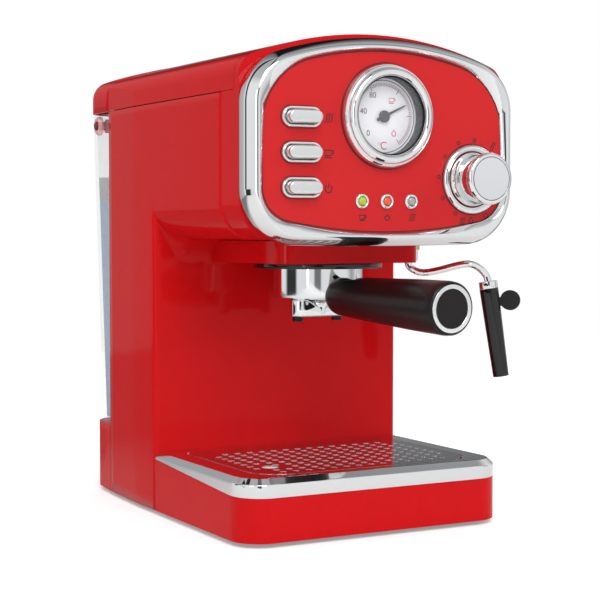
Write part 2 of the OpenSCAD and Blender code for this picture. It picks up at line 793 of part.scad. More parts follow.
module steam_knob() {
    skirt = knob_ring_r - 4.9;
    r = knob_face_r;
    color("silver") on_panel(knob_x, knob_z) rotate_extrude() polygon([
        [0, 0.6], [skirt, 0.6], [skirt, 1.8], [skirt - 0.8, 3], [r - 1, 0.3 * knob_h],
        [r - 2.5, 0.45 * knob_h], [r - 2.3, 0.6 * knob_h], [r - 1.1, 0.75 * knob_h],
        [r, 0.86 * knob_h], [r, 0.94 * knob_h], [r - 0.8, 0.985 * knob_h], [r - 2.2, knob_h],
        [0, knob_h - 0.4]
    ]);
}

module valve_spindle() {
    color("#c8a050") on_panel(knob_x, knob_z, -30) cylinder(r = spindle_r, h = 30.6);
}

module steam_valve() {
    color("#c8a050") on_panel(knob_x, knob_z) difference() {
        union() {
            translate([0, 0, -panel_t - valve_len]) cylinder(r = valve_r, h = valve_len);
            translate([0, 0, -panel_t - 1]) cylinder(r = 6, h = panel_t + 0.8);
            translate([0, 0, -24]) rotate([90, 0, 0]) cylinder(r = 4, h = valve_r + 3);
        }
        translate([0, 0, -31]) cylinder(r = spindle_r + spindle_gap, h = 32);
        translate([0, 0, -24]) rotate([90, 0, 0]) cylinder(r = 1.5, h = valve_r + 4);
    }
}

module steam_pipes() {
    // from the boiler's side to the valve's back
    feed = smooth_path([
        [(boiler_r + 0.3) * cos(30), group_y - (boiler_r + 0.3) * sin(30), knob_z - 9],
        [(boiler_r + 6) * cos(30), group_y - (boiler_r + 6) * sin(30), knob_z - 9],
        [knob_x - 14, valve_rear_y + 19, knob_z - 6],
        [knob_x - 2, valve_rear_y + 14, knob_z - 0.5],
        [knob_x, valve_rear_y + 7, knob_z], [knob_x, valve_rear_y + 0.2, knob_z]
    ]);
    // from the valve's outlet to the wand's socket
    outlet_y = panel_y + 24;
    outlet_z = knob_z - valve_r - 3.2;
    socket_z = head_inner_z + 10;
    outlet = smooth_path([
        [knob_x, outlet_y, outlet_z], [knob_x, outlet_y, outlet_z - 5],
        [knob_x + 2, outlet_y + 12, outlet_z - 8],
        [wand_x, wand_y - 14, socket_z + 13], [wand_x, wand_y, socket_z + 8],
        [wand_x, wand_y, socket_z + 0.2]
    ]);
    color("silver") {
        swept(feed, 2);
        swept(outlet, 2);
    }
}

// ---- group and water system ----

module boiler() {
    color("#a8a8ac") translate([0, group_y, collar_top_z]) {
        cylinder(r = boiler_r, h = boiler_h - 6);
        translate([0, 0, boiler_h - 6.01]) cylinder(r1 = boiler_r, r2 = boiler_r - 5, h = 6.01);
        for (x = [-16, 16]) translate([x, 8, boiler_h - 1]) cylinder(r = 7, h = 9);
    }
}

module group_block() {
    inner = [block_w - 2 * wall, column_front_y - block_front_y - wall - 1, block_h];
    color("firebrick") difference() {
        translate([0, 0, block_z]) linear_extrude(block_h) group_block_plan(0);
        difference() {
            translate([0, 0, block_z + wall]) linear_extrude(block_h) group_block_plan(wall);
            translate([0, group_y, block_z]) cylinder(r = collar_r + 3, h = inner[2]);
        }
        translate([0, group_y, block_z - 1]) cylinder(r = collar_r + 0.5, h = block_h + 2);
    }
}

module group_block_plan(inset) {
    r = 10 - inset;
    hull() {
        for (side = [-1, 1]) translate([side * (block_w / 2 - inset - r), block_front_y + inset + r])
            circle(r = r, $fn = 40);
        translate([-block_w / 2 + inset, column_front_y - 2 - inset])
            square([block_w - 2 * inset, 2]);
    }
}

module group_disc() {
    color("#202020") translate([0, group_y, disc_z]) tube(disc_r, lug_r + 0.6, disc_t);
}

// Two sectors of a disc, for the bayonet lugs and the slots that let them in
module lug_pair(r, h, half_angle) {
    for (turn = [0, 180]) rotate([0, 0, turn]) linear_extrude(h) polygon(concat(
        [[0, 0]], [for (i = [-4 : 4]) let (a = half_angle * i / 4) r / cos(half_angle / 8) * [cos(a), sin(a)]]));
}

module group_collar() {
    bore_r = filter_r + turn_gap;
    color("#b8b8bc") translate([0, group_y, 0]) difference() {
        union() {
            translate([0, 0, block_z]) cylinder(r = collar_r, h = collar_top_z - block_z);
            translate([0, 0, head_inner_z + 0.7]) cylinder(r = collar_r + 5, h = collar_top_z - head_inner_z - 0.7);
        }
        translate([0, 0, block_z - 1]) cylinder(r = bore_r, h = gasket_z - block_z);
        translate([0, 0, lug_z - 0.3]) cylinder(r = lug_r + 0.6, h = lug_h + 1);
        translate([0, 0, block_z - 1]) rotate([0, 0, handle_angle - 45]) intersection() {
            lug_pair(collar_r, 4, 21);
            cylinder(r = lug_r + 0.6, h = 4);
        }
        translate([0, 0, gasket_z - 2]) cylinder(r = filter_r + 1.1, h = collar_plate_z - gasket_z + 2);
        translate([0, 0, collar_plate_z - 1]) cylinder(r = 3, h = 30);
    }
}

module group_gasket() {
    color("#402018") translate([0, group_y, gasket_z])
        tube(filter_r + 0.8, filter_r - 4.6, collar_plate_z - gasket_z);
}

module shower_screen() {
    r = filter_r - 5;
    color("silver") translate([0, group_y, gasket_z + 0.6]) difference() {
        cylinder(r = r, h = collar_plate_z - gasket_z - 0.6);
        translate([0, 0, 1]) cylinder(r = r - 1, h = 10);
        for (ring = [1 : 3], k = [0 : ring * 6 - 1])
            rotate([0, 0, 60 * k / ring]) translate([ring * 6.5, 0, -1]) cylinder(r = 0.7, h = 3, $fn = 13);
    }
}

module pump() {
    color("#909090") translate([pump_x, pump_y, pump_z + 0.3]) {
        cylinder(r = 16, h = 16);
        translate([-22, -19, 16]) cube([44, 38, 32]);
        translate([0, 0, 48]) cylinder(r = 12, h = pump_h - 54);
        translate([0, 0, pump_h - 6.01]) cylinder(r = 5, h = 6);
    }
}

module water_hoses() {
    // from the tank's seat to the pump
    suction = smooth_path([
        [0, tank_seat_y, platform_z - 15.4], [0, tank_seat_y, platform_z - 23],
        [-6, tank_seat_y - 12, pump_z - 12], [-18, pump_y + 12, pump_z - 13],
        [-30, pump_y, pump_z - 13], [pump_x, pump_y, pump_z - 9], [pump_x, pump_y, pump_z - 0.2]
    ]);
    // from the pump to the boiler
    pressure = smooth_path([
        [pump_x, pump_y, pump_z + pump_h + 0.6], [pump_x, pump_y, pump_z + pump_h + 20],
        [pump_x + 6, pump_y - 6, head_floor_z - 24], [-30, column_front_y + 28, head_floor_z + 10],
        [-16, group_y + 50, boiler_top_z], [0, group_y + 33, boiler_top_z + 14],
        [0, group_y + 22, boiler_top_z + 8], [0, group_y + 22, boiler_top_z + 0.2]
    ]);
    color("#d8d8d0") {
        swept(suction, 3.5);
        swept(pressure, 2.5);
    }
}

module tank_seat() {
    r = tank_valve_r + 4;
    color("#282828") translate([0, tank_seat_y, 0]) difference() {
        union() {
            translate([0, 0, platform_z - 15]) cylinder(r = r, h = 15);
            translate([0, 0, platform_z - wall - 3]) cylinder(r = r + 3, h = 3);
        }
        translate([0, 0, platform_z - 8]) cylinder(r = tank_valve_r + 0.6, h = 20);
        translate([0, 0, platform_z - 16]) cylinder(r = 2, h = 20);
    }
}

// ---- portafilter ----

module at_group() {
    translate([0, group_y, 0]) rotate([0, 0, handle_angle]) children();
}

// Local Z runs along the handle and local Y points up
module along_handle() {
    at_group() translate([0, -handle_start, handle_z]) rotate([90 + handle_droop, 0, 0]) children();
}

module portafilter_body() {
    color("silver") {
        at_group() difference() {
            union() {
                translate([0, 0, filter_z]) cylinder(r = filter_r, h = filter_rim_z - filter_z);
                translate([0, 0, lug_z]) intersection() {
                    lug_pair(collar_r, lug_h, 18);
                    cylinder(r = lug_r, h = lug_h);
                }
            }
            translate([0, 0, filter_z + filter_wall]) cylinder(r = filter_r - filter_wall, h = 60);
            translate([0, 0, filter_z - 1]) cylinder(r = 3, h = 10);
        }
        intersection() {
            along_handle() cylinder(r = neck_r, h = 32);
            at_group() difference() {
                translate([-20, -80, filter_z - 20]) cube([40, 80, 40]);
                translate([0, 0, filter_z - 30]) cylinder(r = filter_r - 1, h = 60);
            }
        }
    }
}

module filter_basket() {
    r = filter_r - filter_wall - 0.4;
    low_z = filter_z + filter_wall + 2;
    color("#c0c0c4") at_group() difference() {
        union() {
            translate([0, 0, low_z]) cylinder(r = r, h = filter_rim_z - low_z);
            translate([0, 0, filter_rim_z]) cylinder(r = filter_r - 0.3, h = 0.8);
        }
        translate([0, 0, low_z + 0.8]) cylinder(r = r - 0.8, h = 60);
    }
}

module double_spout() {
    outlet_x = outlet_pitch / 2;
    dip = 0.5 * spout_h;
    saddle_r = (pow(spout_w / 2 - 3, 2) + dip * dip) / (2 * dip);
    color("silver") at_group() difference() {
        union() {
            difference() {
                translate([0, 0, spout_z]) linear_extrude(spout_h) stadium(spout_w, spout_d);
                translate([0, 20, spout_z + spout_h - dip + saddle_r]) rotate([90, 0, 0])
                    cylinder(r = saddle_r, h = 40);
            }
            translate([0, 0, spout_z + 3]) cylinder(r = 7, h = filter_z - spout_z - 3);
        }
        translate([0, 0, spout_z + 3.5]) cylinder(r = 3, h = 40);
        translate([-outlet_x, 0, spout_z + 4]) rotate([0, 90, 0]) cylinder(r = 2, h = 2 * outlet_x);
        for (side = [-1, 1]) translate([side * outlet_x, 0, spout_z - 1]) cylinder(r = 2.1, h = 5);
    }
}

module spout_nozzles() {
    color("#202020") at_group() for (side = [-1, 1])
        translate([side * outlet_pitch / 2, 0, spout_z - 2.8]) tube(3.6, 2.1, 2.8);
}

module handle() {
    r0 = handle_d0 / 2;
    r1 = handle_d1 / 2;
    color("#241c1a") difference() {
        along_handle() difference() {
            rotate_extrude() polygon([
                [0, 34], [neck_r + 0.05, 34], [neck_r + 0.05, 0], [r0, 0],
                [r0 + 0.45 * (r1 - r0), 0.3 * handle_len], [r0 + 0.85 * (r1 - r0), 0.7 * handle_len],
                [r1, handle_len - 5], [r1 - 0.4, handle_len - 1], [r1 - 1.4, handle_len],
                [r1 - 1.7, handle_len], [r1 - 1.7, handle_len - 2.4], [0, handle_len - 2.4]
            ]);
            // notch for the basket clip
            translate([-5.5, neck_r + 0.9, 5]) cube([11, 20, 19]);
            translate([-6.2, clip_y, clip_h]) rotate([0, 90, 0])
                cylinder(r = clip_pin_r + 0.05, h = 12.4);
        }
        at_group() translate([0, 0, filter_z - 40]) cylinder(r = filter_r + 0.3, h = 80);
    }
}

module handle_end_ring() {
    r1 = handle_d1 / 2;
    color("silver") along_handle() translate([0, 0, handle_len - 2.3]) tube(r1 - 1.8, r1 - 4.6, 2.4);
}

module handle_end_cap() {
    color("#202020") along_handle() translate([0, 0, handle_len - 2.3])
        cylinder(r = handle_d1 / 2 - 4.7, h = 2.2);
}

module basket_clip() {
    color("#181818") along_handle() {
        translate([-4.5, clip_y - 0.9, clip_h - 11]) cube([9, 1.8, 12.5]);
        translate([-6, clip_y, clip_h]) rotate([0, 90, 0]) cylinder(r = clip_pin_r, h = 12);
    }
}

// ---- steam wand ----

module at_wand() {
    translate([wand_x, wand_y, 0]) rotate([0, 0, -wand_turn]) children();
}

// Place of the frother's axis: reach from the swivel, and height
frother_s = 54.7;
frother_z = wand_top_z - 14.3;

module along_frother() {
    at_wand() translate([frother_s, 0, frother_z]) rotate([0, -frother_tilt, 0]) children();
}

module wand_socket() {
    color("#c8a050") translate([wand_x, wand_y, 0]) difference() {
        union() {
            translate([0, 0, head_floor_z - 6.8]) cylinder(r = 7.5, h = 6.8 + wall + 10);
            translate([0, 0, head_inner_z + 4.2]) cylinder(r = 9.5, h = 3);
        }
        translate([0, 0, head_floor_z - 8]) cylinder(r = wand_pivot_r + wand_pivot_gap, h = 40);
    }
}

module wand_pivot() {
    color("silver") translate([wand_x, wand_y, wand_top_z]) {
        cylinder(r = wand_pivot_r, h = head_inner_z + 9.5 - wand_top_z);
        cylinder(r1 = 5.6, r2 = 6.4, h = 1);
        translate([0, 0, 0.99]) cylinder(r = 6.4, h = head_floor_z - 7.1 - wand_top_z - 0.99);
    }
}

module wand_tube() {
    top = wand_top_z;
    lean = sin(frother_tilt);
    path = smooth_path([
        [0, 0, top - 0.3], [0, 0, top - 2.8], [3, 0, top - 5.9], [10, 0, top - 8.2],
        [21, 0, top - 6.5], [32, 0, top - 3.6], [41, 0, top - 2.2], [48, 0, top - 4.4],
        [frother_s - 1.6, 0, top - 9.4], [frother_s - 1.4 * lean, 0, frother_z + 1.4],
        [frother_s, 0, frother_z + 0.3]
    ]);
    color("silver") at_wand() swept(path, wand_r, 14);
}

module wand_collar() {
    color("silver") along_frother() {
        translate([0, 0, -collar_len]) cylinder(r = frother_r0 - 0.1, h = collar_len);
        translate([0, 0, -collar_len - tip_len]) cylinder(r = tip_r, h = tip_len + 1);
    }
}

module frother_sleeve() {
    top = -collar_len - 0.3;
    color("#181818") along_frother() difference() {
        union() {
            translate([0, 0, top - frother_len]) cylinder(r1 = frother_r1, r2 = frother_r0, h = frother_len);
            translate([frother_r0 + grip_r, 1.5, top - 10]) rotate([90, 0, 0]) cylinder(r = grip_r, h = 3);
            translate([0, -1.5, top - 13]) cube([frother_r0 + 3, 3, 6]);
        }
        translate([0, 0, top - frother_len - 1]) cylinder(r = tip_r + 0.08, h = frother_len + 2);
    }
}

// ---- water tank ----

module tank_slice(rear_y, inset) {
    r = tank_corner_r - inset;
    hull() for (x = [-1, 1], y = [tank_front_y + inset + r, rear_y - inset - r])
        translate([x * (tank_w / 2 - inset - r), y]) circle(r = r, $fn = 32);
}

module tank_form(inset, z0, z1) {
    slope = (tank_top_y - tank_low_y) / (tank_rim_z - tank_z);
    hull() {
        translate([0, 0, z0]) linear_extrude(SLICE)
            tank_slice(tank_low_y + slope * (z0 - tank_z), inset);
        translate([0, 0, z1 - SLICE]) linear_extrude(SLICE)
            tank_slice(tank_low_y + slope * (z1 - tank_z), inset);
    }
}

module water_tank() {
    color([0.8, 0.87, 0.92, 0.45]) difference() {
        union() {
            tank_form(0, tank_z, tank_rim_z);
            // ears that carry the lid's hinge pin
            for (x = [-30, 30]) translate([x - 3, tank_top_y - 3, lid_hinge_z - 8])
                cube([6, lid_hinge_y - tank_top_y + 5, 10]);
        }
        tank_form(tank_wall, tank_z + tank_wall, tank_rim_z + 1);
        translate([0, tank_seat_y, tank_z - 1]) cylinder(r = tank_valve_r - 3, h = tank_wall + 2);
        translate([-40, lid_hinge_y, lid_hinge_z]) rotate([0, 90, 0]) cylinder(r = 1.35, h = 80);
        for (x = [-1, 1]) translate([x * tank_w / 2, bail_y, bail_z]) rotate([0, 90, 0])
            cylinder(r = 3.1, h = 12, center = true);
    }
}

module lid_solid(inset) {
    rise = 27;                                  // radius of the lid's rounded back
    top_z = roof_top_z - inset;
    back_y = lid_hinge_y - inset;
    low_z = seam_z + seam_gap;
    intersection() {
        head_prism(inset, lid_front_y + inset, back_y + 1);
        along_x(bezel_w) polygon(concat(
            [[lid_front_y + inset, low_z - inset], [back_y, low_z - inset]],
            arc(back_y - rise + inset, top_z - rise + inset, rise - inset, 0, 90),
            [[lid_front_y + inset, top_z]]));
        linear_extrude(roof_top_z + 1) hull() {
            half = rear_w / 2 - inset;
            translate([-half, lid_front_y + inset]) square([2 * half, 1]);
            for (side = [-1, 1])
                translate([side * (half - 1.5 - 18), back_y - 18 + inset]) circle(r = 18 - inset, $fn = 40);
        }
    }
}

module tank_lid() {
    color("firebrick") difference() {
        union() {
            difference() {
                lid_solid(0);
                lid_solid(lid_wall);
                for (x = [-30, 30]) translate([x - 3.4, tank_top_y - 4, seam_z - 10]) cube([6.8, 20, 18]);
            }
            for (x = [-22, 22]) translate([x - 4, lid_hinge_y, lid_hinge_z]) {
                rotate([0, 90, 0]) cylinder(r = 2.5, h = 8);
                translate([0, -lid_wall, 0]) cube([8, lid_wall + 1, 6]);
            }
        }
        translate([-50, lid_hinge_y, lid_hinge_z]) rotate([0, 90, 0]) cylinder(r = 1.4, h = 100);
    }
}

module lid_hinge_pin() {
    color("silver") translate([-34, lid_hinge_y, lid_hinge_z]) rotate([0, 90, 0])
        cylinder(r = 1.3, h = 68);
}

module tank_handle() {
    color("crimson") {
        for (side = [-1, 1]) {
            translate([side * bail_half, bail_y, bail_z]) rotate([0, 90, 0])
                cylinder(r = 5, h = 3, center = true);
            translate([side * (bail_half + tank_wall + 2.4), bail_y, bail_z]) rotate([0, 90, 0])
                cylinder(r = 3, h = 2 * tank_wall + 3, center = true);
            translate([side * bail_half - 1.5, bail_y - bail_reach, bail_z - bail_r])
                cube([3, bail_reach, 2 * bail_r]);
        }
        translate([-bail_half, bail_y - bail_reach, bail_z]) rotate([0, 90, 0])
            cylinder(r = bail_r, h = 2 * bail_half);
    }
}

module tank_valve() {
    color("#282828") translate([0, tank_seat_y, 0]) difference() {
        union() {
            translate([0, 0, platform_z - 6]) cylinder(r = tank_valve_r, h = 6.2);
            translate([0, 0, platform_z - 6]) cylinder(r = tank_valve_r - 3.1, h = 6 + tank_wall + 6);
            translate([0, 0, tank_z + tank_wall + 0.01]) cylinder(r = tank_valve_r, h = 3);
        }
        translate([0, 0, platform_z - 7]) cylinder(r = 2.1, h = 30);
    }
}

module valve_plunger() {
    color("silver") translate([0, tank_seat_y, platform_z - 5.6]) {
        cylinder(r = 2, h = 16.2);
        translate([0, 0, 15.8]) cylinder(r = 4, h = 2);
    }
}

// ---- drip tray ----

module tray_plan(inset, rear = 0) {
    half = tray_w / 2 - inset;
    r = tray_corner_r - inset;
    hull() {
        for (side = [-1, 1]) translate([side * (half - r), tray_front_y + inset + r])
            circle(r = r, $fn = 48);
        translate([-half, tray_rear_y - 1 + rear]) square([2 * half, 1]);
    }
}

// Side view of the red tray below its chrome trim
module tray_side(drop) {
    along_x(bezel_w) polygon([
        [tray_front_y - 5, 0], [tray_rear_y + 5, 0], [tray_rear_y + 5, trim_rear_z - drop],
        [tray_front_y + 22, trim_low_z + 0.5 - drop], [tray_front_y - 5, trim_low_z - drop]
    ]);
}

module tray_body() {
    color("firebrick") difference() {
        intersection() {
            translate([0, 0, foot_h]) linear_extrude(trim_top_z) tray_plan(0);
            tray_side(0);
        }
        translate([0, 0, basin_z]) linear_extrude(trim_top_z) difference() {
            tray_plan(tray_wall);
            translate([-bezel_w, tray_rear_y - tray_wall]) square([2 * bezel_w, 20]);
        }
        translate([0, 0, foot_h - 1]) linear_extrude(tray_floor_z - foot_h + 1)
            tray_plan(tray_wall, rear = 5);
    }
}

module grid_plan(grow) {
    r = tray_corner_r + 2 + grow;
    half = grid_half_w + grow;
    hull() {
        for (side = [-1, 1]) {
            translate([side * (half - r), grid_front_y - grow + r]) circle(r = r, $fn = 48);
            translate([side * (half - 6), grid_rear_y + grow - 6]) circle(r = 6, $fn = 24);
        }
    }
}

module tray_trim() {
    shoulder_z = trim_top_z - 3.9;
    color("silver") difference() {
        hull() {
            translate([0, 0, trim_low_z - 1]) linear_extrude(shoulder_z - trim_low_z + 1) tray_plan(0);
            translate([0, 0, trim_top_z - SLICE]) linear_extrude(SLICE) intersection() {
                tray_plan(4);
                translate([-bezel_w, tray_front_y]) square([2 * bezel_w, tray_rear_y - tray_front_y]);
            }
        }
        tray_side(0);
        translate([0, 0, trim_low_z - 2]) linear_extrude(trim_top_z - trim_low_z) intersection() {
            tray_plan(tray_wall + 1.6);
            translate([-bezel_w, tray_front_y]) square([2 * bezel_w, tray_rear_y - tray_front_y - tray_wall]);
        }
        translate([0, 0, trim_low_z - 2]) linear_extrude(40) grid_plan(grid_gap);
    }
}

module drip_grid() {
    columns = 2 * floor((grid_half_w - 5) / grid_pitch);
    rows = floor((grid_rear_y - grid_front_y - 31) / grid_pitch);
    first_x = -(columns - 1) / 2 * grid_pitch;
    first_y = grid_front_y + 9;
    last = columns - 1;
    color("#c8c8cc") {
        translate([0, 0, grid_top_z - grid_t]) linear_extrude(grid_t) difference() {
            grid_plan(0);
            for (i = [0 : last], j = [0 : rows])
                if (((i > 0 && i < last) || (j > 1 && j < rows))
                    && norm([first_x + i * grid_pitch - finger_x, j * grid_pitch + 9 - finger_in])
                        > (finger_d + grid_hole_d) / 2 + 1)
                    translate([first_x + i * grid_pitch, first_y + j * grid_pitch])
                        circle(d = grid_hole_d, $fn = 16);
            translate([finger_x, grid_front_y + finger_in]) circle(d = finger_d, $fn = 32);
        }
        for (i = [1.5, last - 1.5], j = [1.5, rows - 0.5])
            translate([first_x + i * grid_pitch, first_y + j * grid_pitch, basin_z + 0.3])
                cylinder(r = 1.7, h = grid_top_z - grid_t - basin_z - 0.29);
    }
}

base_plate();
rubber_feet();
base_screws();
head_shell();
column_shell();
rear_panel();
rear_base();
top_cover();
front_frame();
bezel();
control_panel();
gauge_ring();
gauge_housing();
gauge_dial();
gauge_glass();
gauge_needle();
button_rings();
steam_button();
brew_button();
power_button();
control_board();
lamp_rings();
lamp_lenses();
knob_ring();
steam_knob();
valve_spindle();
steam_valve();
steam_pipes();
boiler();
group_block();
group_disc();
group_collar();
group_gasket();
shower_screen();
pump();
water_hoses();
tank_seat();
cord_gland();
portafilter_body();
filter_basket();
double_spout();
spout_nozzles();
handle();
handle_end_ring();
handle_end_cap();
basket_clip();
wand_socket();
wand_pivot();
wand_tube();
wand_collar();
frother_sleeve();
water_tank();
tank_lid();
lid_hinge_pin();
tank_handle();
tank_valve();
valve_plunger();
tray_body();
tray_trim();
drip_grid();
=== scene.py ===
"""Looks of a pump espresso machine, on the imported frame. Metres, +Z up, front faces -Y."""
import json
import math

import bmesh
import bpy
from mathutils import Matrix, Vector


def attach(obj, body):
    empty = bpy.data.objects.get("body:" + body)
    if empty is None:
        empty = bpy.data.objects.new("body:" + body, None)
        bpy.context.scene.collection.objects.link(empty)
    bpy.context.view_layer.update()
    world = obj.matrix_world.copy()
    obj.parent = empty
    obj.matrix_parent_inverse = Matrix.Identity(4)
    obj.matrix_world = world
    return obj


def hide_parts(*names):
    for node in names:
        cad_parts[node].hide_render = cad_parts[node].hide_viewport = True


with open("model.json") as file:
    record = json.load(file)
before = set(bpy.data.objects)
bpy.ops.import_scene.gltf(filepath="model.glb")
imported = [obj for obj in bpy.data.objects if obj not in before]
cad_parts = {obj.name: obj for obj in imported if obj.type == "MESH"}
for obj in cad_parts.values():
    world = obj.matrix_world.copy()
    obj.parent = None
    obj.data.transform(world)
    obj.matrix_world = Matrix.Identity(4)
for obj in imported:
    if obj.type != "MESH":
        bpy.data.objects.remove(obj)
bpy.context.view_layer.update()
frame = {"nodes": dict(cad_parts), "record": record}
NODES = frame["nodes"]

MM = 0.001

# ---------------------------------------------------------------- camera

camera_data = bpy.data.cameras.new("photo_camera")
camera = bpy.data.objects.new("photo_camera", camera_data)
bpy.context.scene.collection.objects.link(camera)
camera.location = (-0.5070, -0.9411, 0.1955)
camera.rotation_euler = (math.radians(87.21), 0.0, math.radians(-28.654))
camera_data.sensor_width = 36.0
camera_data.lens = 93.135
camera_data.clip_end = 50.0
bpy.context.scene.camera = camera

# ---------------------------------------------------------------- materials

NOISE_DETAIL = 3.0
PLASTIC_IOR = 1.5
COAT_ROUGH = 0.03
FINE_RELIEF = 0.0004
CLEAR_RELIEF = 0.001
CLEAR_BUMP = 0.03
CLEAR_GRAIN = 30.0


def nodes_of(name):
    """A new node material, emptied, with its node tree and output."""
    mat = bpy.data.materials.new(name)
    mat.use_nodes = True
    tree = mat.node_tree
    tree.nodes.clear()
    out = tree.nodes.new("ShaderNodeOutputMaterial")
    return mat, tree, out


def add(tree, kind, **inputs):
    """A node of that kind with the named inputs set."""
    node = tree.nodes.new(kind)
    for key, value in inputs.items():
        node.inputs[key.replace("_", " ")].default_value = value
    return node


def noise_of(tree, scale, stretch=(1.0, 1.0, 1.0)):
    """Noise in object coordinates; scale is in features per metre."""
    place = tree.nodes.new("ShaderNodeTexCoord")
    mapping = tree.nodes.new("ShaderNodeMapping")
    mapping.inputs["Scale"].default_value = stretch
    noise = add(tree, "ShaderNodeTexNoise", Scale=scale, Detail=NOISE_DETAIL)
    tree.links.new(place.outputs["Object"], mapping.inputs["Vector"])
    tree.links.new(mapping.outputs["Vector"], noise.inputs["Vector"])
    return noise


def relieve(tree, noise, shader, strength, depth):
    """Fine relief on a shader from the noise, with its depth in metres."""
    relief = add(tree, "ShaderNodeBump", Strength=strength, Distance=depth)
    tree.links.new(noise.outputs["Fac"], relief.inputs["Height"])
    tree.links.new(relief.outputs["Normal"], shader.inputs["Normal"])


def surface(name, color, rough, rough_spread, grain, metallic=0.0, coat=0.0, bump=0.0, tint=0.0,
            stretch=(1.0, 1.0, 1.0), specular=0.5):
    """A moulded, painted or metal surface with fine variation in gloss, colour and relief."""
    mat, tree, out = nodes_of(name)
    shader = add(tree, "ShaderNodeBsdfPrincipled", Metallic=metallic, Coat_Weight=coat,
                 Coat_Roughness=COAT_ROUGH, Specular_IOR_Level=specular, IOR=PLASTIC_IOR)
    noise = noise_of(tree, grain, stretch)
    gloss = add(tree, "ShaderNodeMapRange", To_Min=max(0.0, rough - rough_spread),
                To_Max=rough + rough_spread)
    tree.links.new(noise.outputs["Fac"], gloss.inputs["Value"])
    tree.links.new(gloss.outputs["Result"], shader.inputs["Roughness"])
    if tint:
        ramp = tree.nodes.new("ShaderNodeValToRGB")
        darker, lighter = ramp.color_ramp.elements
        darker.position = 0.3
        lighter.position = 0.7
        darker.color = [c * (1 - tint) for c in color] + [1]
        lighter.color = [min(1, c * (1 + tint)) for c in color] + [1]
        tree.links.new(noise.outputs["Fac"], ramp.inputs["Fac"])
        tree.links.new(ramp.outputs["Color"], shader.inputs["Base Color"])
    else:
        shader.inputs["Base Color"].default_value = (*color, 1)
    if bump:
        relieve(tree, noise, shader, bump, FINE_RELIEF)
    tree.links.new(shader.outputs["BSDF"], out.inputs["Surface"])
    return mat


def clear(name, color, rough, alpha, ior=1.45, coat=0.0):
    """A see-through plastic, glass or liquid that lets light and the backdrop through."""
    mat, tree, out = nodes_of(name)
    shader = add(tree, "ShaderNodeBsdfPrincipled", Alpha=alpha, IOR=ior, Roughness=rough,
                 Base_Color=(*color, 1), Coat_Weight=coat)
    relieve(tree, noise_of(tree, CLEAR_GRAIN), shader, CLEAR_BUMP, CLEAR_RELIEF)
    tree.links.new(shader.outputs["BSDF"], out.inputs["Surface"])
    return mat


RED_COLOR = (0.60, 0.006, 0.008)
PANEL_COLOR = (0.58, 0.016, 0.018)
MATERIALS = {
    "red_plastic": surface("red_gloss", RED_COLOR, 0.07, 0.01, grain=90.0, tint=0.02, specular=0.09),
    "black_plastic": surface("black_satin", (0.007, 0.005, 0.005), 0.30, 0.04, grain=1500.0, bump=0.06,
                             specular=0.26),
    "chrome": surface("chrome", (0.80, 0.82, 0.82), 0.05, 0.012, metallic=1.0, grain=60.0),
    "steel": surface("polished_steel", (0.62, 0.62, 0.63), 0.13, 0.04, metallic=1.0, grain=500.0,
                     stretch=(1.0, 12.0, 1.0)),
    "aluminium": surface("cast_aluminium", (0.62, 0.62, 0.64), 0.32, 0.05, metallic=1.0, grain=900.0,
                         bump=0.08),
    "button_cap": surface("button_cap", (0.70, 0.72, 0.71), 0.22, 0.04, metallic=0.75, grain=700.0),
    "brass": surface("brass", (0.62, 0.45, 0.18), 0.25, 0.05, metallic=1.0, grain=500.0),
    "rubber": surface("rubber", (0.02, 0.02, 0.02), 0.7, 0.08, grain=1200.0, bump=0.15),
    "clear_tank": clear("clear_tank", (0.80, 0.83, 0.86), 0.04, 0.13),
    "gauge_glass": clear("gauge_glass", (1.0, 1.0, 1.0), 0.01, 0.05),
    "dial_white": surface("dial_white", (0.90, 0.90, 0.94), 0.45, 0.04, grain=600.0, tint=0.01),
    "needle_black": surface("needle_black", (0.03, 0.035, 0.04), 0.4, 0.05, grain=600.0),
    "lamp_lens": surface("lamp_lens", (0.9, 0.3, 0.05), 0.15, 0.03, grain=600.0),
    "board_green": surface("board_green", (0.02, 0.16, 0.06), 0.45, 0.08, grain=800.0, tint=0.2),
    "hose_clear": surface("hose", (0.70, 0.70, 0.66), 0.35, 0.05, grain=500.0),
    "pump_grey": surface("pump_grey", (0.16, 0.16, 0.17), 0.45, 0.06, grain=900.0, bump=0.05),
}
RED = MATERIALS["red_plastic"]
CHROME = MATERIALS["chrome"]


def paint(node, material):
    """One material on a solid of the frame."""
    NODES[node].data.materials.clear()
    NODES[node].data.materials.append(material)


for part in frame["record"]["subparts"]:
    paint(part["node"], MATERIALS[part["material_slot"]])

GLOSS_BLACK = surface("gloss_black", (0.006, 0.006, 0.007), 0.09, 0.02, grain=200.0)
for gloss_node in ("frother_sleeve", "basket_clip", "group_disc"):
    paint(gloss_node, GLOSS_BLACK)

PANEL_RED = surface("panel_red", PANEL_COLOR, 0.30, 0.03, grain=900.0, specular=0.2)
paint("control_panel", PANEL_RED)

# ---------------------------------------------------------------- sizes in mm, as the solids have them

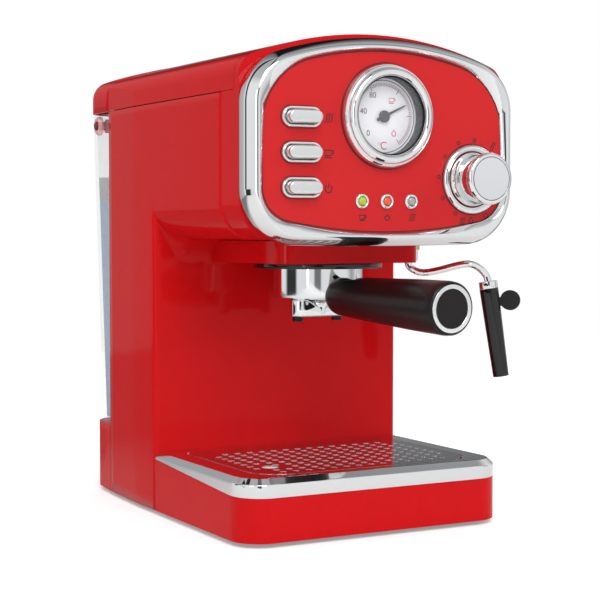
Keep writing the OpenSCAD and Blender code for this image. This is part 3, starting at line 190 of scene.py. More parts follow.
PANEL_Y = -124.6
BEZEL_REAR = -112.0
FRAME_W = 191.6
FRAME_TOP = 310.0
FRAME_LOW = 182.0
FRAME_TOP_R = 245.0
FRAME_CORNER_R = 33.0
FRAME_LOW_CORNER_R = 34.0
PANEL_W = 173.6
PANEL_TOP = 302.0
PANEL_LOW = 190.4
PANEL_TOP_R = 210.0
PANEL_CORNER_R = 44.0
PANEL_LOW_R = 370.0
PANEL_LOW_CORNER_R = 22.0
BOW_R = 2400.0
SHELL_HALF = 95.2
REAR_HALF = 92.8
TAPER_Y = 50.0
BODY_REAR = 102.0
SHELL_WALL = 2.4
SEAM_Z = 275.7
HEAD_FRONT = -87.7
HEAD_FLOOR = 184.8
HEAD_EDGE_R = 24.2
COLUMN_FRONT = 16.0
COLUMN_EDGE_R = 4.0
FILLET_R = 18.0
FOOT_Z = 3.0
LID_LOW = 276.3
LID_TOP = 313.4
LID_FRONT = 102.7
LID_FLAT = 30.3
LID_BACK = 157.0
LID_ROUND = 24.0
LID_ARCH_R = 245.0
LID_WALL = 2.2
LID_HINGE_Z = 278.0
LID_NOTCH_HALF = 38.0
LID_NOTCH_TOP = 281.0
KNUCKLE_X = 22.0
KNUCKLE_W = 8.0
GAUGE_Z = 262.0
DIAL_H = -4.0
BUTTON_X = -60.0
BUTTON_Z = 238.6
BUTTON_PITCH = 21.1
LAMP_Z = 209.7
LAMP_PITCH = 17.8
KNOB_X = 63.5
KNOB_Z = 224.0
FILTER_Z = 147.5
SPOUT_Z = 134.1
SPOUT_H = 12.4
SPOUT_HALF = 20.4
TANK_HALF = 88.0
TANK_FRONT = 102.5
TANK_CORNER_R = 13.0
TANK_LOW = (51.3, 138.0)
TANK_RIM = (275.4, 154.5)
HANDLE_Y = 131.4
HANDLE_Z = 267.4

# heights of printed lines above their face
PRINT_LOW = 0.02
PRINT_TOP = 0.10
LETTER_LIFT = 0.06
LETTER_THICK = 0.08

HANDS = ((-1, "left"), (1, "right"))

# ---------------------------------------------------------------- mesh helpers


def mesh_piece(name, verts, faces, material, body="housing", sharp=35.0):
    """A piece from points in mm, welded, smooth-shaded, and riding on that body."""
    mesh = bpy.data.meshes.new(name)
    mesh.from_pydata([Vector(v) * MM for v in verts], [], faces)
    work = bmesh.new()
    work.from_mesh(mesh)
    bmesh.ops.remove_doubles(work, verts=work.verts, dist=2e-6)
    bmesh.ops.recalc_face_normals(work, faces=work.faces)
    work.to_mesh(mesh)
    work.free()
    for face in mesh.polygons:
        face.use_smooth = True
    mesh.set_sharp_from_angle(angle=math.radians(sharp))
    mesh.materials.append(material)
    piece = bpy.data.objects.new(name, mesh)
    bpy.context.scene.collection.objects.link(piece)
    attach(piece, body)
    return piece


def rounded(points, radius, steps):
    """The open line of points with each inner corner turned into a short curve of about that radius."""
    result = [Vector(points[0])]
    for i in range(1, len(points) - 1):
        here = Vector(points[i])
        before = Vector(points[i - 1]) - here
        after = Vector(points[i + 1]) - here
        cut = min(radius, 0.45 * before.length, 0.45 * after.length)
        start = here + before.normalized() * cut
        end = here + after.normalized() * cut
        for k in range(steps + 1):
            t = k / steps
            result.append(start * (1 - t) ** 2 + here * 2 * t * (1 - t) + end * t ** 2)
    result.append(Vector(points[-1]))
    return result


def skin_faces(rings, width, closed_across=True, closed_along=False):
    """Quads between rings of points that are stored one after the other."""
    faces = []
    for i in range(rings if closed_along else rings - 1):
        for k in range(width if closed_across else width - 1):
            a = i * width + k
            b = i * width + (k + 1) % width
            below = ((i + 1) % rings) * width
            faces.append((a, b, below + (k + 1) % width, below + k))
    return faces


def loft(name, rings, material, body="housing", caps=False, sharp=35.0):
    """A skin over closed rings of the same number of points."""
    width = len(rings[0])
    verts = [p for ring in rings for p in ring]
    faces = skin_faces(len(rings), width)
    if caps:
        faces.append(tuple(range(width)))
        faces.append(tuple((len(rings) - 1) * width + k for k in range(width)))
    return mesh_piece(name, verts, faces, material, body, sharp)


def lathe(name, profile, place, material, body="housing", closed=False, steps=96):
    """A profile of (radius, height) turned about the local Z axis of place."""
    verts = []
    for i in range(steps):
        a = 2 * math.pi * i / steps
        for r, h in profile:
            verts.append(place @ Vector((r * math.cos(a), r * math.sin(a), h)))
    faces = skin_faces(steps, len(profile), closed, True)
    return mesh_piece(name, verts, faces, material, body)


def on_panel(x, z, h=0.0):
    """Local X and Y lie in the panel's face and local Z points out of it."""
    return Matrix.Translation((x, PANEL_Y - h, z)) @ Matrix.Rotation(math.radians(90), 4, "X")


def stadium(w, h):
    """Points round a long hole with round ends."""
    steps = 20
    r = h / 2
    half = w / 2 - r
    points = []
    for sign, start in ((1, -90), (-1, 90)):
        for k in range(steps + 1):
            a = math.radians(start + 180 * k / steps)
            points.append((sign * half + r * math.cos(a), r * math.sin(a)))
    return points


def stadium_rings(place, profile):
    """Rings for a loft: each (w, h, out) of the profile is a stadium at that height."""
    return [[place @ Vector((x, y, out)) for x, y in stadium(w, h)] for w, h, out in profile]


def arc_points(cx, cy, r, a0, a1, steps=24, first=0):
    """Points of an arc, with angles in degrees."""
    angles = [math.radians(a0 + (a1 - a0) * i / steps) for i in range(first, steps + 1)]
    return [(cx + r * math.cos(a), cy + r * math.sin(a)) for a in angles]


def arched(w, top, bottom, top_r, corner_r, low_r, low_corner_r):
    """Outline with an arched top, a bowed bottom and rounded corners."""
    hw = w / 2
    top_c = top - top_r
    corner_c = top_c + math.sqrt((top_r - corner_r) ** 2 - (hw - corner_r) ** 2)
    corner_a = math.degrees(math.atan2(corner_c - top_c, hw - corner_r))
    low_c = bottom + low_r
    low_corner_c = low_c - math.sqrt((low_r - low_corner_r) ** 2 - (hw - low_corner_r) ** 2)
    low_a = math.degrees(math.atan2(low_c - low_corner_c, hw - low_corner_r))
    right = arc_points(0, low_c, low_r, -90, -low_a)
    right += arc_points(hw - low_corner_r, low_corner_c, low_corner_r, -low_a, 0, first=1)
    right += arc_points(hw - corner_r, corner_c, corner_r, 0, corner_a)
    right += arc_points(0, top_c, top_r, corner_a, 90, first=1)
    return right + [(-x, z) for x, z in reversed(right[1:-1])]


def bezel_outline(inset):
    """The bezel's outer outline, moved in by inset."""
    return arched(FRAME_W - 2 * inset, FRAME_TOP - inset, FRAME_LOW + inset, FRAME_TOP_R - inset,
                  FRAME_CORNER_R - inset, BOW_R - inset, FRAME_LOW_CORNER_R - inset)


def panel_outline(grow):
    """The red panel's outline, moved out by grow."""
    return arched(PANEL_W + 2 * grow, PANEL_TOP + grow, PANEL_LOW - grow, PANEL_TOP_R + grow,
                  PANEL_CORNER_R + grow, PANEL_LOW_R + grow, PANEL_LOW_CORNER_R + grow)


def match_angles(outline, target):
    """Points of the target outline in the directions of the first outline's, seen from the middle."""
    middle = Vector((0.0, 246.0))
    count = len(target)
    found = []
    for point in outline:
        way = (Vector(point) - middle).normalized()
        for i in range(count):
            a = Vector(target[i]) - middle
            b = Vector(target[(i + 1) % count]) - middle
            side_a = way.x * a.y - way.y * a.x
            side_b = way.x * b.y - way.y * b.x
            if side_a <= 0 < side_b and way.dot(a) > 0:
                hit = a + (b - a) * (-side_a / (side_b - side_a)) + middle
                found.append((hit.x, hit.y))
                break
        else:
            nearest = min(target, key=lambda other: (Vector(other) - Vector(point)).length)
            found.append(nearest)
    return found


def ribbon(name, lines, width, place, material, body="housing"):
    """Printed lines: each (points, closed) is drawn as a thin band."""
    verts = []
    faces = []
    for points, closed in lines:
        count = len(points)
        start = len(verts)
        for i, point in enumerate(points):
            here = Vector(point)
            last = Vector(points[i - 1]) if (closed or i) else here
            following = Vector(points[(i + 1) % count]) if (closed or i < count - 1) else here
            along = (following - last).normalized()
            side = Vector((-along.y, along.x)) * (width / 2)
            for out in (PRINT_LOW, PRINT_TOP):
                for sign in (1, -1):
                    flat = here + side * sign
                    verts.append(place @ Vector((flat.x, flat.y, out)))
        for i in range(count if closed else count - 1):
            a = start + 4 * i
            b = start + 4 * ((i + 1) % count)
            faces += [(a + 2, a + 3, b + 3, b + 2), (a, a + 2, b + 2, b), (a + 1, b + 1, b + 3, a + 3)]
    return mesh_piece(name, verts, faces, material, body)


def lettering(name, words, size, place, material, body="housing"):
    """Generic numbers or a unit sign, as thin printed letters."""
    curve = bpy.data.curves.new(name + "_curve", "FONT")
    curve.body = words
    curve.size = size
    curve.extrude = LETTER_THICK / 2
    curve.align_x = "CENTER"
    curve.align_y = "CENTER"
    source = bpy.data.objects.new(name + "_curve", curve)
    bpy.context.scene.collection.objects.link(source)
    graph = bpy.context.evaluated_depsgraph_get()
    mesh = bpy.data.meshes.new_from_object(source.evaluated_get(graph))
    bpy.data.objects.remove(source)
    mesh.transform(Matrix.Scale(MM, 4) @ place)
    mesh.name = name
    mesh.materials.clear()
    mesh.materials.append(material)
    piece = bpy.data.objects.new(name, mesh)
    bpy.context.scene.collection.objects.link(piece)
    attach(piece, body)
    return piece


def soften(node, width):
    """Small round edges on a solid of the frame."""
    solid = NODES[node]
    weld = solid.modifiers.new("weld", "WELD")
    weld.merge_threshold = 2e-6
    bevel = solid.modifiers.new("soft_edges", "BEVEL")
    bevel.width = width * MM
    bevel.segments = 3
    bevel.limit_method = "ANGLE"
    bevel.angle_limit = math.radians(38.0)
    bevel.use_clamp_overlap = True
    bevel.harden_normals = False


# ---------------------------------------------------------------- lid and body skins


def half_at(y):
    """Half-width of the body at that depth."""
    if y <= TAPER_Y:
        return SHELL_HALF
    return SHELL_HALF - (SHELL_HALF - REAR_HALF) * (y - TAPER_Y) / (BODY_REAR - TAPER_Y)


def smooth_step(t):
    """0 to 1 with flat ends."""
    t = max(0.0, min(1.0, t))
    return t * t * (3 - 2 * t)


def lid_ring(y, inset):
    """The lid's outline at that depth, from its lower right edge over the arch to its lower left edge."""
    half = half_at(y) - inset
    top = LID_TOP - inset
    arch_r = LID_ARCH_R - inset
    corner_r = max(5.0, 13.0 - 0.3 * inset)
    rise = top - arch_r + math.sqrt((arch_r - corner_r) ** 2 - (half - corner_r) ** 2)
    slope = math.degrees(math.atan2(rise - top + arch_r, half - corner_r))
    side = arc_points(half - corner_r, rise, corner_r, 0, slope, 10)
    over = arc_points(0, top - arch_r, arch_r, slope, 180 - slope, 40)[1:-1]
    side = [(half, LID_LOW)] + side
    line = side + over + [(-x, z) for x, z in reversed(side)]
    return [(x, y, max(z, LID_LOW)) for x, z in line]


lid_rings = [lid_ring(LID_FRONT + LID_FLAT * i / 6, 0.0) for i in range(7)]
for i in range(1, 17):
    a = math.radians(90 * i / 16)
    lid_rings.append(lid_ring(LID_BACK - LID_ROUND + LID_ROUND * math.sin(a), LID_ROUND * (1 - math.cos(a))))
lid_width = len(lid_rings[0])
lid_verts = [p for ring in lid_rings for p in ring]
lid_faces = skin_faces(len(lid_rings), lid_width, closed_across=False)

# the back face has a notch for the hinge pin and the tank's ears
back_face = [(len(lid_rings) - 1) * lid_width + i for i in range(lid_width)]
for x, z in ((-LID_NOTCH_HALF, LID_LOW), (-LID_NOTCH_HALF, LID_NOTCH_TOP),
             (LID_NOTCH_HALF, LID_NOTCH_TOP), (LID_NOTCH_HALF, LID_LOW)):
    back_face.append(len(lid_verts))
    lid_verts.append((x, LID_BACK, z))
lid_faces.append(tuple(back_face))
lid_skin = mesh_piece("lid_skin", lid_verts, lid_faces, RED, "tank_lid", sharp=50.0)
lid_wall = lid_skin.modifiers.new("wall", "SOLIDIFY")
lid_wall.thickness = LID_WALL * MM
lid_wall.offset = -1.0
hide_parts("tank_lid")
for side, hand in HANDS:
    left_x = side * KNUCKLE_X - KNUCKLE_W / 2
    right_x = side * KNUCKLE_X + KNUCKLE_W / 2
    hinge_place = (Matrix.Translation((left_x, LID_BACK, LID_HINGE_Z))
                   @ Matrix.Rotation(math.radians(90), 4, "Y"))
    barrel = rounded([(1.55, 0.0), (2.5, 0.0), (2.5, KNUCKLE_W), (1.55, KNUCKLE_W)], 0.3, 3)
    knuckle = lathe("lid_knuckle_" + hand, barrel, hinge_place, RED, "tank_lid", closed=True, steps=48)
    arm = [[(left_x, LID_BACK - LID_WALL, z), (right_x, LID_BACK - LID_WALL, z),
            (right_x, LID_BACK, z), (left_x, LID_BACK, z)] for z in (279.6, 281.6)]
    loft("lid_knuckle_arm_" + hand, arm, RED, "tank_lid", caps=True)

HEAD_ROWS = 24
FILLET_ROWS = 24
COLUMN_ROWS = 24
SIDE_STEPS = 14
EDGE_TOP = HEAD_FLOOR + HEAD_EDGE_R
EDGE_BACK = COLUMN_FRONT + COLUMN_EDGE_R


def skin_profile(x):
    """Points (y, z) at that x: along the head's floor, round the fillet and down the column's front."""
    ax = abs(x)
    flat = SHELL_HALF - HEAD_EDGE_R
    u = max(0.0, min(1.0, (ax - flat) / HEAD_EDGE_R))
    bow = min(ax, flat) ** 2 / (2 * BOW_R) * (1 - u)
    floor_z = EDGE_TOP - HEAD_EDGE_R * math.sqrt(max(0.0, 1 - u * u)) + bow
    v = max(0.0, min(1.0, (ax - SHELL_HALF + COLUMN_EDGE_R) / COLUMN_EDGE_R))
    front_y = COLUMN_FRONT + COLUMN_EDGE_R * (1 - math.sqrt(max(0.0, 1 - v * v)))
    r = FILLET_R * (1 - smooth_step(u))
    points = []
    for i in range(HEAD_ROWS):
        points.append((HEAD_FRONT + (front_y - r - HEAD_FRONT) * i / HEAD_ROWS, floor_z))
    for a in FILLET_ANGLES:
        points.append((front_y - r + r * math.sin(a), floor_z - r + r * math.cos(a)))
    for i in range(1, COLUMN_ROWS + 1):
        points.append((front_y, floor_z - r + (FOOT_Z - floor_z + r) * i / COLUMN_ROWS))
    return points


def side_reach(row, y, z):
    """Direction (y, z) and distance from the edge of the front to the top or rear of the side."""
    if row < HEAD_ROWS:
        return 0.0, 1.0, SEAM_Z - z
    if row >= HEAD_ROWS + len(FILLET_ANGLES):
        return 1.0, 0.0, BODY_REAR - y
    a = FILLET_ANGLES[row - HEAD_ROWS]
    up = (SEAM_Z - z) / max(math.cos(a), 1e-6)
    back = (BODY_REAR - y) / max(math.sin(a), 1e-6)
    return math.sin(a), math.cos(a), min(up, back)


side_corner = math.atan2(BODY_REAR - EDGE_BACK, SEAM_Z - EDGE_TOP)
quarter = [math.radians(90 * i / FILLET_ROWS) for i in range(FILLET_ROWS + 1)]
FILLET_ANGLES = sorted(quarter + [side_corner])
flat_half = SHELL_HALF - HEAD_EDGE_R
across = [flat_half * i / 10 for i in range(11)]
across += [flat_half + HEAD_EDGE_R * math.sin(math.radians(90 * i / 26)) for i in range(1, 27)]
rows = len(skin_profile(0.0))
columns = [[(x, y, z) for y, z in skin_profile(x)] for x in across]
for step in range(1, SIDE_STEPS + 1):
    column = []
    for row, (y, z) in enumerate(skin_profile(SHELL_HALF)):
        dy, dz, reach = side_reach(row, y, z)
        at_y = y + dy * reach * step / SIDE_STEPS
        column.append((half_at(at_y), at_y, z + dz * reach * step / SIDE_STEPS))
    columns.append(column)
mirrored = [[(-x, y, z) for x, y, z in column] for column in reversed(columns[1:])]
skin_columns = mirrored + columns
body_skin = mesh_piece("body_skin", [p for column in skin_columns for p in column],
                       skin_faces(len(skin_columns), rows, closed_across=False), RED, sharp=50.0)
body_wall = body_skin.modifiers.new("wall", "SOLIDIFY")
body_wall.thickness = SHELL_WALL * MM
body_wall.offset = -1.0
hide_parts("head_shell", "column_shell")

# ---------------------------------------------------------------- bezel and panel

# each step is the inset from the outer outline, and Y
bezel_steps = [
    (4.5, BEZEL_REAR), (1.0, BEZEL_REAR), (0.45, -112.4), (0.15, -113.2), (0.0, -114.5), (0.0, -117.0),
    (0.0, -119.2), (0.1, -120.4), (0.35, -121.3), (0.75, -122.2), (1.3, -123.2), (2.0, -124.3),
    (2.8, -125.4), (3.6, -126.35), (4.3, -127.05), (5.0, -127.55), (5.6, -127.85), (6.2, -127.95),
    (6.6, -127.85),
]
bezel_rings = [[(x, y, z) for x, z in bezel_outline(inset)] for inset, y in bezel_steps]
crest = bezel_outline(6.6)
panel_edge = match_angles(crest, panel_outline(0.0))
for share, y in ((0.25, -127.5), (0.5, -126.9), (0.75, -126.1), (0.93, -125.3), (1.0, -124.7),
                 (1.0, -124.0)):
    bezel_rings.append([(a[0] + (b[0] - a[0]) * share, y, a[1] + (b[1] - a[1]) * share)
                        for a, b in zip(crest, panel_edge)])
bezel = loft("bezel_ring", bezel_rings, CHROME, sharp=28.0)
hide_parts("bezel")

# ---------------------------------------------------------------- gauge

gauge_place = on_panel(0, GAUGE_Z)
gauge_profile = rounded([
    (25.3, -2.0), (32.3, -0.1), (32.3, 2.2), (31.6, 4.2), (30.4, 5.6), (29.9, 5.2), (29.4, 6.6),
    (28.0, 8.1), (26.4, 8.4), (25.0, 7.6), (24.2, 6.2), (24.0, 4.6), (24.0, -6.0),
], 1.1, 5)
gauge_ring = lathe("gauge_bezel", gauge_profile, gauge_place, CHROME, steps=160)
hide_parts("gauge_ring")

PRINT_BLACK = surface("print_black", (0.035, 0.030, 0.032), 0.5, 0.04, grain=2500.0)
PRINT_DARK_RED = surface("print_dark_red", (0.030, 0.006, 0.007), 0.5, 0.04, grain=2500.0)
PRINT_RED = surface("print_red", (0.62, 0.06, 0.08), 0.5, 0.04, grain=2500.0)
PRINT_PINK = surface("print_pink", (0.36, 0.15, 0.18), 0.5, 0.04, grain=2500.0)
DARK_WALL = surface("gauge_wall", (0.03, 0.03, 0.035), 0.35, 0.05, grain=900.0)

dial_face = on_panel(0, GAUGE_Z, DIAL_H)


def spoke(angle, r0, r1):
    """A radial line on the dial."""
    a = math.radians(angle)
    return [(r0 * math.cos(a), r0 * math.sin(a)), (r1 * math.cos(a), r1 * math.sin(a))], False


def circle(cx, cy, r, steps):
    """A closed line round a centre."""
    return arc_points(cx, cy, r, 0, 360 * (steps - 1) / steps, steps - 1), True


ribbon("dial_edge_line", [circle(0, 0, 22.3, 120)], 0.45, dial_face, PRINT_BLACK)
ribbon("dial_black_ticks", [spoke(224, 18.6, 20.2), spoke(169, 19.4, 20.2), spoke(118, 17.4, 20.6)]
       + [spoke(122 + 3.4 * i, 19.3, 20.6) for i in range(6)], 0.42, dial_face, PRINT_BLACK)
ribbon("dial_pink_ticks", [spoke(114.5 - 3.4 * i, 18.6, 20.8) for i in range(50)], 0.42, dial_face,
       PRINT_PINK)
ribbon("dial_long_ticks", [spoke(56, 16.9, 20.8), spoke(2, 17.2, 20.8), spoke(-55, 16.9, 20.8)], 0.5,
       dial_face, PRINT_PINK)
for words, angle, radius in (("0", 224, 15.2), ("40", 169, 14.6), ("80", 121, 14.9)):
    a = math.radians(angle)
    number_at = Matrix.Translation((radius * math.cos(a), radius * math.sin(a), LETTER_LIFT))
    lettering("dial_number_" + words, words, 5.0, dial_face @ number_at, PRINT_BLACK)
unit_at = Matrix.Translation((0.2, -18.2, LETTER_LIFT))
lettering("dial_unit", "C", 7.0, dial_face @ unit_at, PRINT_RED)
ribbon("dial_degree", [circle(-2.8, -16.6, 0.6, 16)], 0.2, dial_face, PRINT_RED)


def cup_lines(cx, cy, s):
    """A small cup of size s: bowl, handle and saucer line."""
    bowl = [(cx - s, cy + 0.55 * s), (cx - 0.8 * s, cy - 0.45 * s), (cx + 0.5 * s, cy - 0.45 * s),
            (cx + 0.7 * s, cy + 0.55 * s)]
    handle = arc_points(cx + 0.72 * s, cy + 0.15 * s, 0.38 * s, -80, 80, 10)
    saucer = [(cx - 0.95 * s, cy - 0.85 * s), (cx + 0.7 * s, cy - 0.85 * s)]
    return [(bowl, True), (handle, False), (saucer, False)]


def steam_lines(cx, cy, s):
    """Three leaning waves."""
    lines = []
    for k in (-1, 0, 1):
        wave = [(cx + 0.62 * s * k + 0.22 * s * math.sin(math.pi * t / 4) + 0.12 * t * s - 0.5 * s,
                 cy - s + 0.25 * s * t) for t in range(9)]
        lines.append((wave, False))
    return lines


def power_lines(cx, cy, s):
    """An open circle with a stroke at the top."""
    return [(arc_points(cx, cy, 0.8 * s, 125, 415, 24), False),
            ([(cx, cy + 0.15 * s), (cx, cy + 1.05 * s)], False)]


def drop_lines(cx, cy, s):
    """A drop of water."""
    tip = [(cx, cy + 1.2 * s)]
    return [(tip + arc_points(cx, cy - 0.15 * s, 0.8 * s, 35, -215, 18), True)]


ribbon("dial_cup", cup_lines(6.1, 10.2, 2.2), 0.5, dial_face, PRINT_RED)
ribbon("dial_drop", drop_lines(7.6, -10.2, 1.8), 0.5, dial_face, PRINT_RED)

needle_place = on_panel(0, GAUGE_Z) @ Matrix.Rotation(math.radians(25), 4, "Z")
hub = rounded([(0, DIAL_H + 2.7), (3.2, DIAL_H + 2.7), (3.7, DIAL_H + 2.0), (3.7, DIAL_H + 0.5),
               (0, DIAL_H + 0.5)], 0.5, 4)
needle_hub = lathe("needle_hub", hub, needle_place, MATERIALS["needle_black"],
                   "gauge_needle", steps=48)
blade = []
for along, half in ((-5.5, 1.0), (0.0, 0.95), (9.0, 0.65), (15.5, 0.45), (17.2, 0.2)):
    low = DIAL_H + 0.9
    top = DIAL_H + 1.6
    blade.append([needle_place @ Vector(p) for p in (
        (along, -half, low), (along, half, low), (along, half * 0.8, top), (along, -half * 0.8, top))])
needle_blade = loft("needle_blade", blade, MATERIALS["needle_black"], "gauge_needle", caps=True)
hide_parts("gauge_needle")

# fine ribs on the dark wall inside the gauge's ring
RIB_COUNT = 120
RIB_OUTER = 23.9
RIB_INNER = 23.45
RIB_TOP = 5.6
rib_verts = []
for i in range(RIB_COUNT):
    a = 2 * math.pi * i / RIB_COUNT
    for turn, r in ((-0.5, RIB_OUTER), (-0.28, RIB_INNER), (0.28, RIB_INNER), (0.5, RIB_OUTER)):
        angle = a + turn * 2 * math.pi / RIB_COUNT
        for h in (DIAL_H + 0.9, RIB_TOP):
            rib_verts.append(gauge_place @ Vector((r * math.cos(angle), r * math.sin(angle), h)))
rib_faces = []
for i in range(0, len(rib_verts), 2):
    after = (i + 2) % len(rib_verts)
    rib_faces.append((i, after, after + 1, i + 1))
mesh_piece("gauge_ribbed_wall", rib_verts, rib_faces, DARK_WALL, sharp=20.0)

# ---------------------------------------------------------------- buttons, lamps and knob

for row, node in ((1, "steam_button"), (0, "brew_button"), (-1, "power_button")):
    place = on_panel(BUTTON_X, BUTTON_Z + row * BUTTON_PITCH)
    ring = loft("ring_of_" + node, stadium_rings(place, [
        (27.5, 13.0, -0.1), (27.5, 13.0, 0.9), (27.1, 12.6, 1.7), (26.3, 11.8, 2.2), (25.2, 10.7, 2.3),
        (24.1, 9.6, 2.1), (23.5, 9.0, 1.6), (23.2, 8.7, 0.8), (23.2, 8.7, -3.0)]), CHROME, sharp=40.0)
    if row == 0:
        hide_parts("button_rings")
    cap = loft("cap_of_" + node, stadium_rings(place, [
        (22.6, 8.1, -3.4), (22.6, 8.1, 6.0), (22.4, 7.9, 6.8), (21.8, 7.3, 7.3), (20.8, 6.3, 7.55),
        (17.0, 2.6, 7.65)]), MATERIALS["button_cap"], node, caps=True, sharp=40.0)
    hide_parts(node)

for i, tone, color in ((-1, "green", (0.42, 0.55, 0.02)), (0, "orange", (0.75, 0.10, 0.02)),
                       (1, "grey", (0.36, 0.36, 0.34))):
    place = on_panel(i * LAMP_PITCH, LAMP_Z)
    ring_profile = rounded([(2.75, -3.5), (2.75, 0.9), (3.3, 1.7), (4.0, 1.75), (4.75, 0.9),
                            (4.75, -0.1)], 0.35, 4)
    ring = lathe("lamp_ring_" + tone, ring_profile, place, CHROME, steps=64)
    lens_mat = surface("lens_" + tone, color, 0.15, 0.03, grain=900.0, coat=0.6, tint=0.08)
    lens_profile = [(2.6, -1.2), (2.6, 0.9), (2.3, 1.45), (1.7, 1.85), (0.9, 2.05), (0, 2.1)]
    lens = lathe("lamp_lens_" + tone, lens_profile, place, lens_mat, steps=48)
    if i == 0:
        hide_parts("lamp_rings")
        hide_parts("lamp_lenses")

panel_face = on_panel(0, 0)
for name, lines, width in (
        ("button_icon_steam", steam_lines(-40.6, 259.5, 2.9), 0.62),
        ("button_icon_cup", cup_lines(-41.0, 238.4, 3.1), 0.68),
        ("button_icon_power", power_lines(-41.2, 217.0, 3.0), 0.72),
        ("lamp_icon_cup", cup_lines(-17.3, 199.8, 2.3), 0.68),
        ("lamp_icon_power", power_lines(0.6, 199.6, 2.0), 0.68),
        ("lamp_icon_steam", steam_lines(18.9, 199.8, 2.3), 0.55)):
    ribbon(name, lines, width, panel_face, PRINT_DARK_RED)

# painted shadow: dark lines drawn where the panel, the rings and the buttons' rings meet their neighbours,
# in place of the shade that falls there
SHADOW_LINE = surface("shadow_line", (0.07, 0.002, 0.003), 0.45, 0.04, grain=1500.0)
ribbon("panel_shadow_line", [(panel_outline(-0.55), True)], 0.75, panel_face, SHADOW_LINE)
ribbon("gauge_shadow_line", [circle(0, 0, 32.6, 96)], 0.7, gauge_place, SHADOW_LINE)
ribbon("knob_shadow_line", [circle(0, 0, 22.4, 96)], 0.6, on_panel(KNOB_X, KNOB_Z), SHADOW_LINE)
for row in (-1, 0, 1):
    ribbon("button_shadow_line_%d" % (row + 2), [(stadium(27.9, 13.4), True)], 0.5,
           on_panel(BUTTON_X, BUTTON_Z + row * BUTTON_PITCH), SHADOW_LINE)

knob_place = on_panel(KNOB_X, KNOB_Z)
ring_profile = rounded([(17.6, 0.0), (17.7, 1.2), (18.8, 2.5), (20.2, 3.0), (21.5, 2.2), (22.1, 0.9),
                        (22.1, -0.1)], 0.7, 4)
knob_ring = lathe("knob_collar_ring", ring_profile, knob_place, CHROME, steps=128)
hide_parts("knob_ring")
knob_profile = rounded([
    (0, 0.6), (17.1, 0.6), (17.1, 1.9), (16.3, 3.0), (15.5, 4.6), (15.1, 7.0), (15.1, 16.6),
    (15.7, 17.8), (16.3, 18.8), (16.3, 20.3), (15.5, 21.6), (13.9, 21.95), (13.5, 21.7), (13.3, 21.9),
    (0, 21.9)], 0.7, 4)
knob = lathe("steam_knob_body", knob_profile, knob_place, CHROME, "steam_knob", steps=128)
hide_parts("steam_knob")
ribbon("knob_face_line", [circle(0, 0, 13.5, 96)], 0.3, knob_place @ Matrix.Translation((0, 0, 21.85)),
       DARK_WALL, "steam_knob")

marks = []
for angle in (85, 114, 145, 177, 209, 240):
    a = math.radians(angle)
    marks.append(circle(KNOB_X + 24.9 * math.cos(a), KNOB_Z + 24.9 * math.sin(a), 1.05, 20))
large = math.radians(-64.5)
marks.append(circle(KNOB_X + 25.6 * math.cos(large), KNOB_Z + 25.6 * math.sin(large), 1.5, 24))
ribbon("knob_mark_circles", marks, 0.6, panel_face, PRINT_DARK_RED)
bar_angle = math.radians(52.7)
bar_x = KNOB_X + 27.0 * math.cos(bar_angle)
bar_z = KNOB_Z + 27.0 * math.sin(bar_angle)
bar_line = [(bar_x + dx, bar_z + dz) for dx, dz in ((-2.1, -2.0), (-0.9, -2.8), (2.1, 2.0), (0.9, 2.8))]
ribbon("knob_mark_bar", [(bar_line, True)], 0.6, panel_face, PRINT_DARK_RED)
ribbon("knob_mark_steam", steam_lines(56.7, 197.6, 2.2), 0.55, panel_face, PRINT_DARK_RED)
ribbon("knob_mark_cup", drop_lines(63.2, 197.8, 2.0), 0.6, panel_face, PRINT_DARK_RED)

# ---------------------------------------------------------------- portafilter, spout and tray insert

portafilter_place = Matrix.Translation((0, -37.5, 0)) @ Matrix.Rotation(math.radians(4), 4, "Z")
skin_line = rounded([(30.12, 170.5), (30.12, FILTER_Z + 0.4), (27.6, FILTER_Z - 0.4), (22.0, FILTER_Z - 1.4),
                     (13.0, FILTER_Z - 2.0), (0, FILTER_Z - 2.2)], 1.6, 6)
skin = lathe("portafilter_skin", skin_line, portafilter_place, CHROME, "portafilter", steps=128)


def spout_ring(x):
    """Rounded section of the spout across its arms, with a dip in its top between the ends."""
    flat = 13.5
    over = max(0.0, abs(x) - flat) / 7.0
    half = 7.0 * math.sqrt(max(0.02, 1 - over * over))
    dip = 0.5 * SPOUT_H * (1 - smooth_step(abs(x) / 14.5))
    low = SPOUT_Z + 0.6 * over * over
    top = SPOUT_Z + SPOUT_H - dip - 1.2 * over * over
    r = min(1.6, half * 0.6)
    ring = []
    for cy, cz, start in ((half - r, top - r, 0), (-half + r, top - r, 90), (-half + r, low + r, 180),
                          (half - r, low + r, 270)):
        corner = arc_points(cy, cz, r, start, start + 90, 5)
        ring += [portafilter_place @ Vector((x, y, z)) for y, z in corner]
    return ring


spout_stops = [SPOUT_HALF * math.sin(math.radians(90 * i / 16)) for i in range(17)]
spout_stops = [-x for x in reversed(spout_stops[1:])] + spout_stops
spout = loft("spout_arms", [spout_ring(x) for x in spout_stops], CHROME, "portafilter", caps=True,
             sharp=50.0)
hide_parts("double_spout")
stem_line = rounded([(11.5, FILTER_Z - 1.6), (8.4, FILTER_Z - 3.2), (7.2, FILTER_Z - 6.0),
                     (7.2, SPOUT_Z + 2.0)], 1.2, 5)
stem = lathe("spout_stem", stem_line, portafilter_place, CHROME, "portafilter", steps=64)

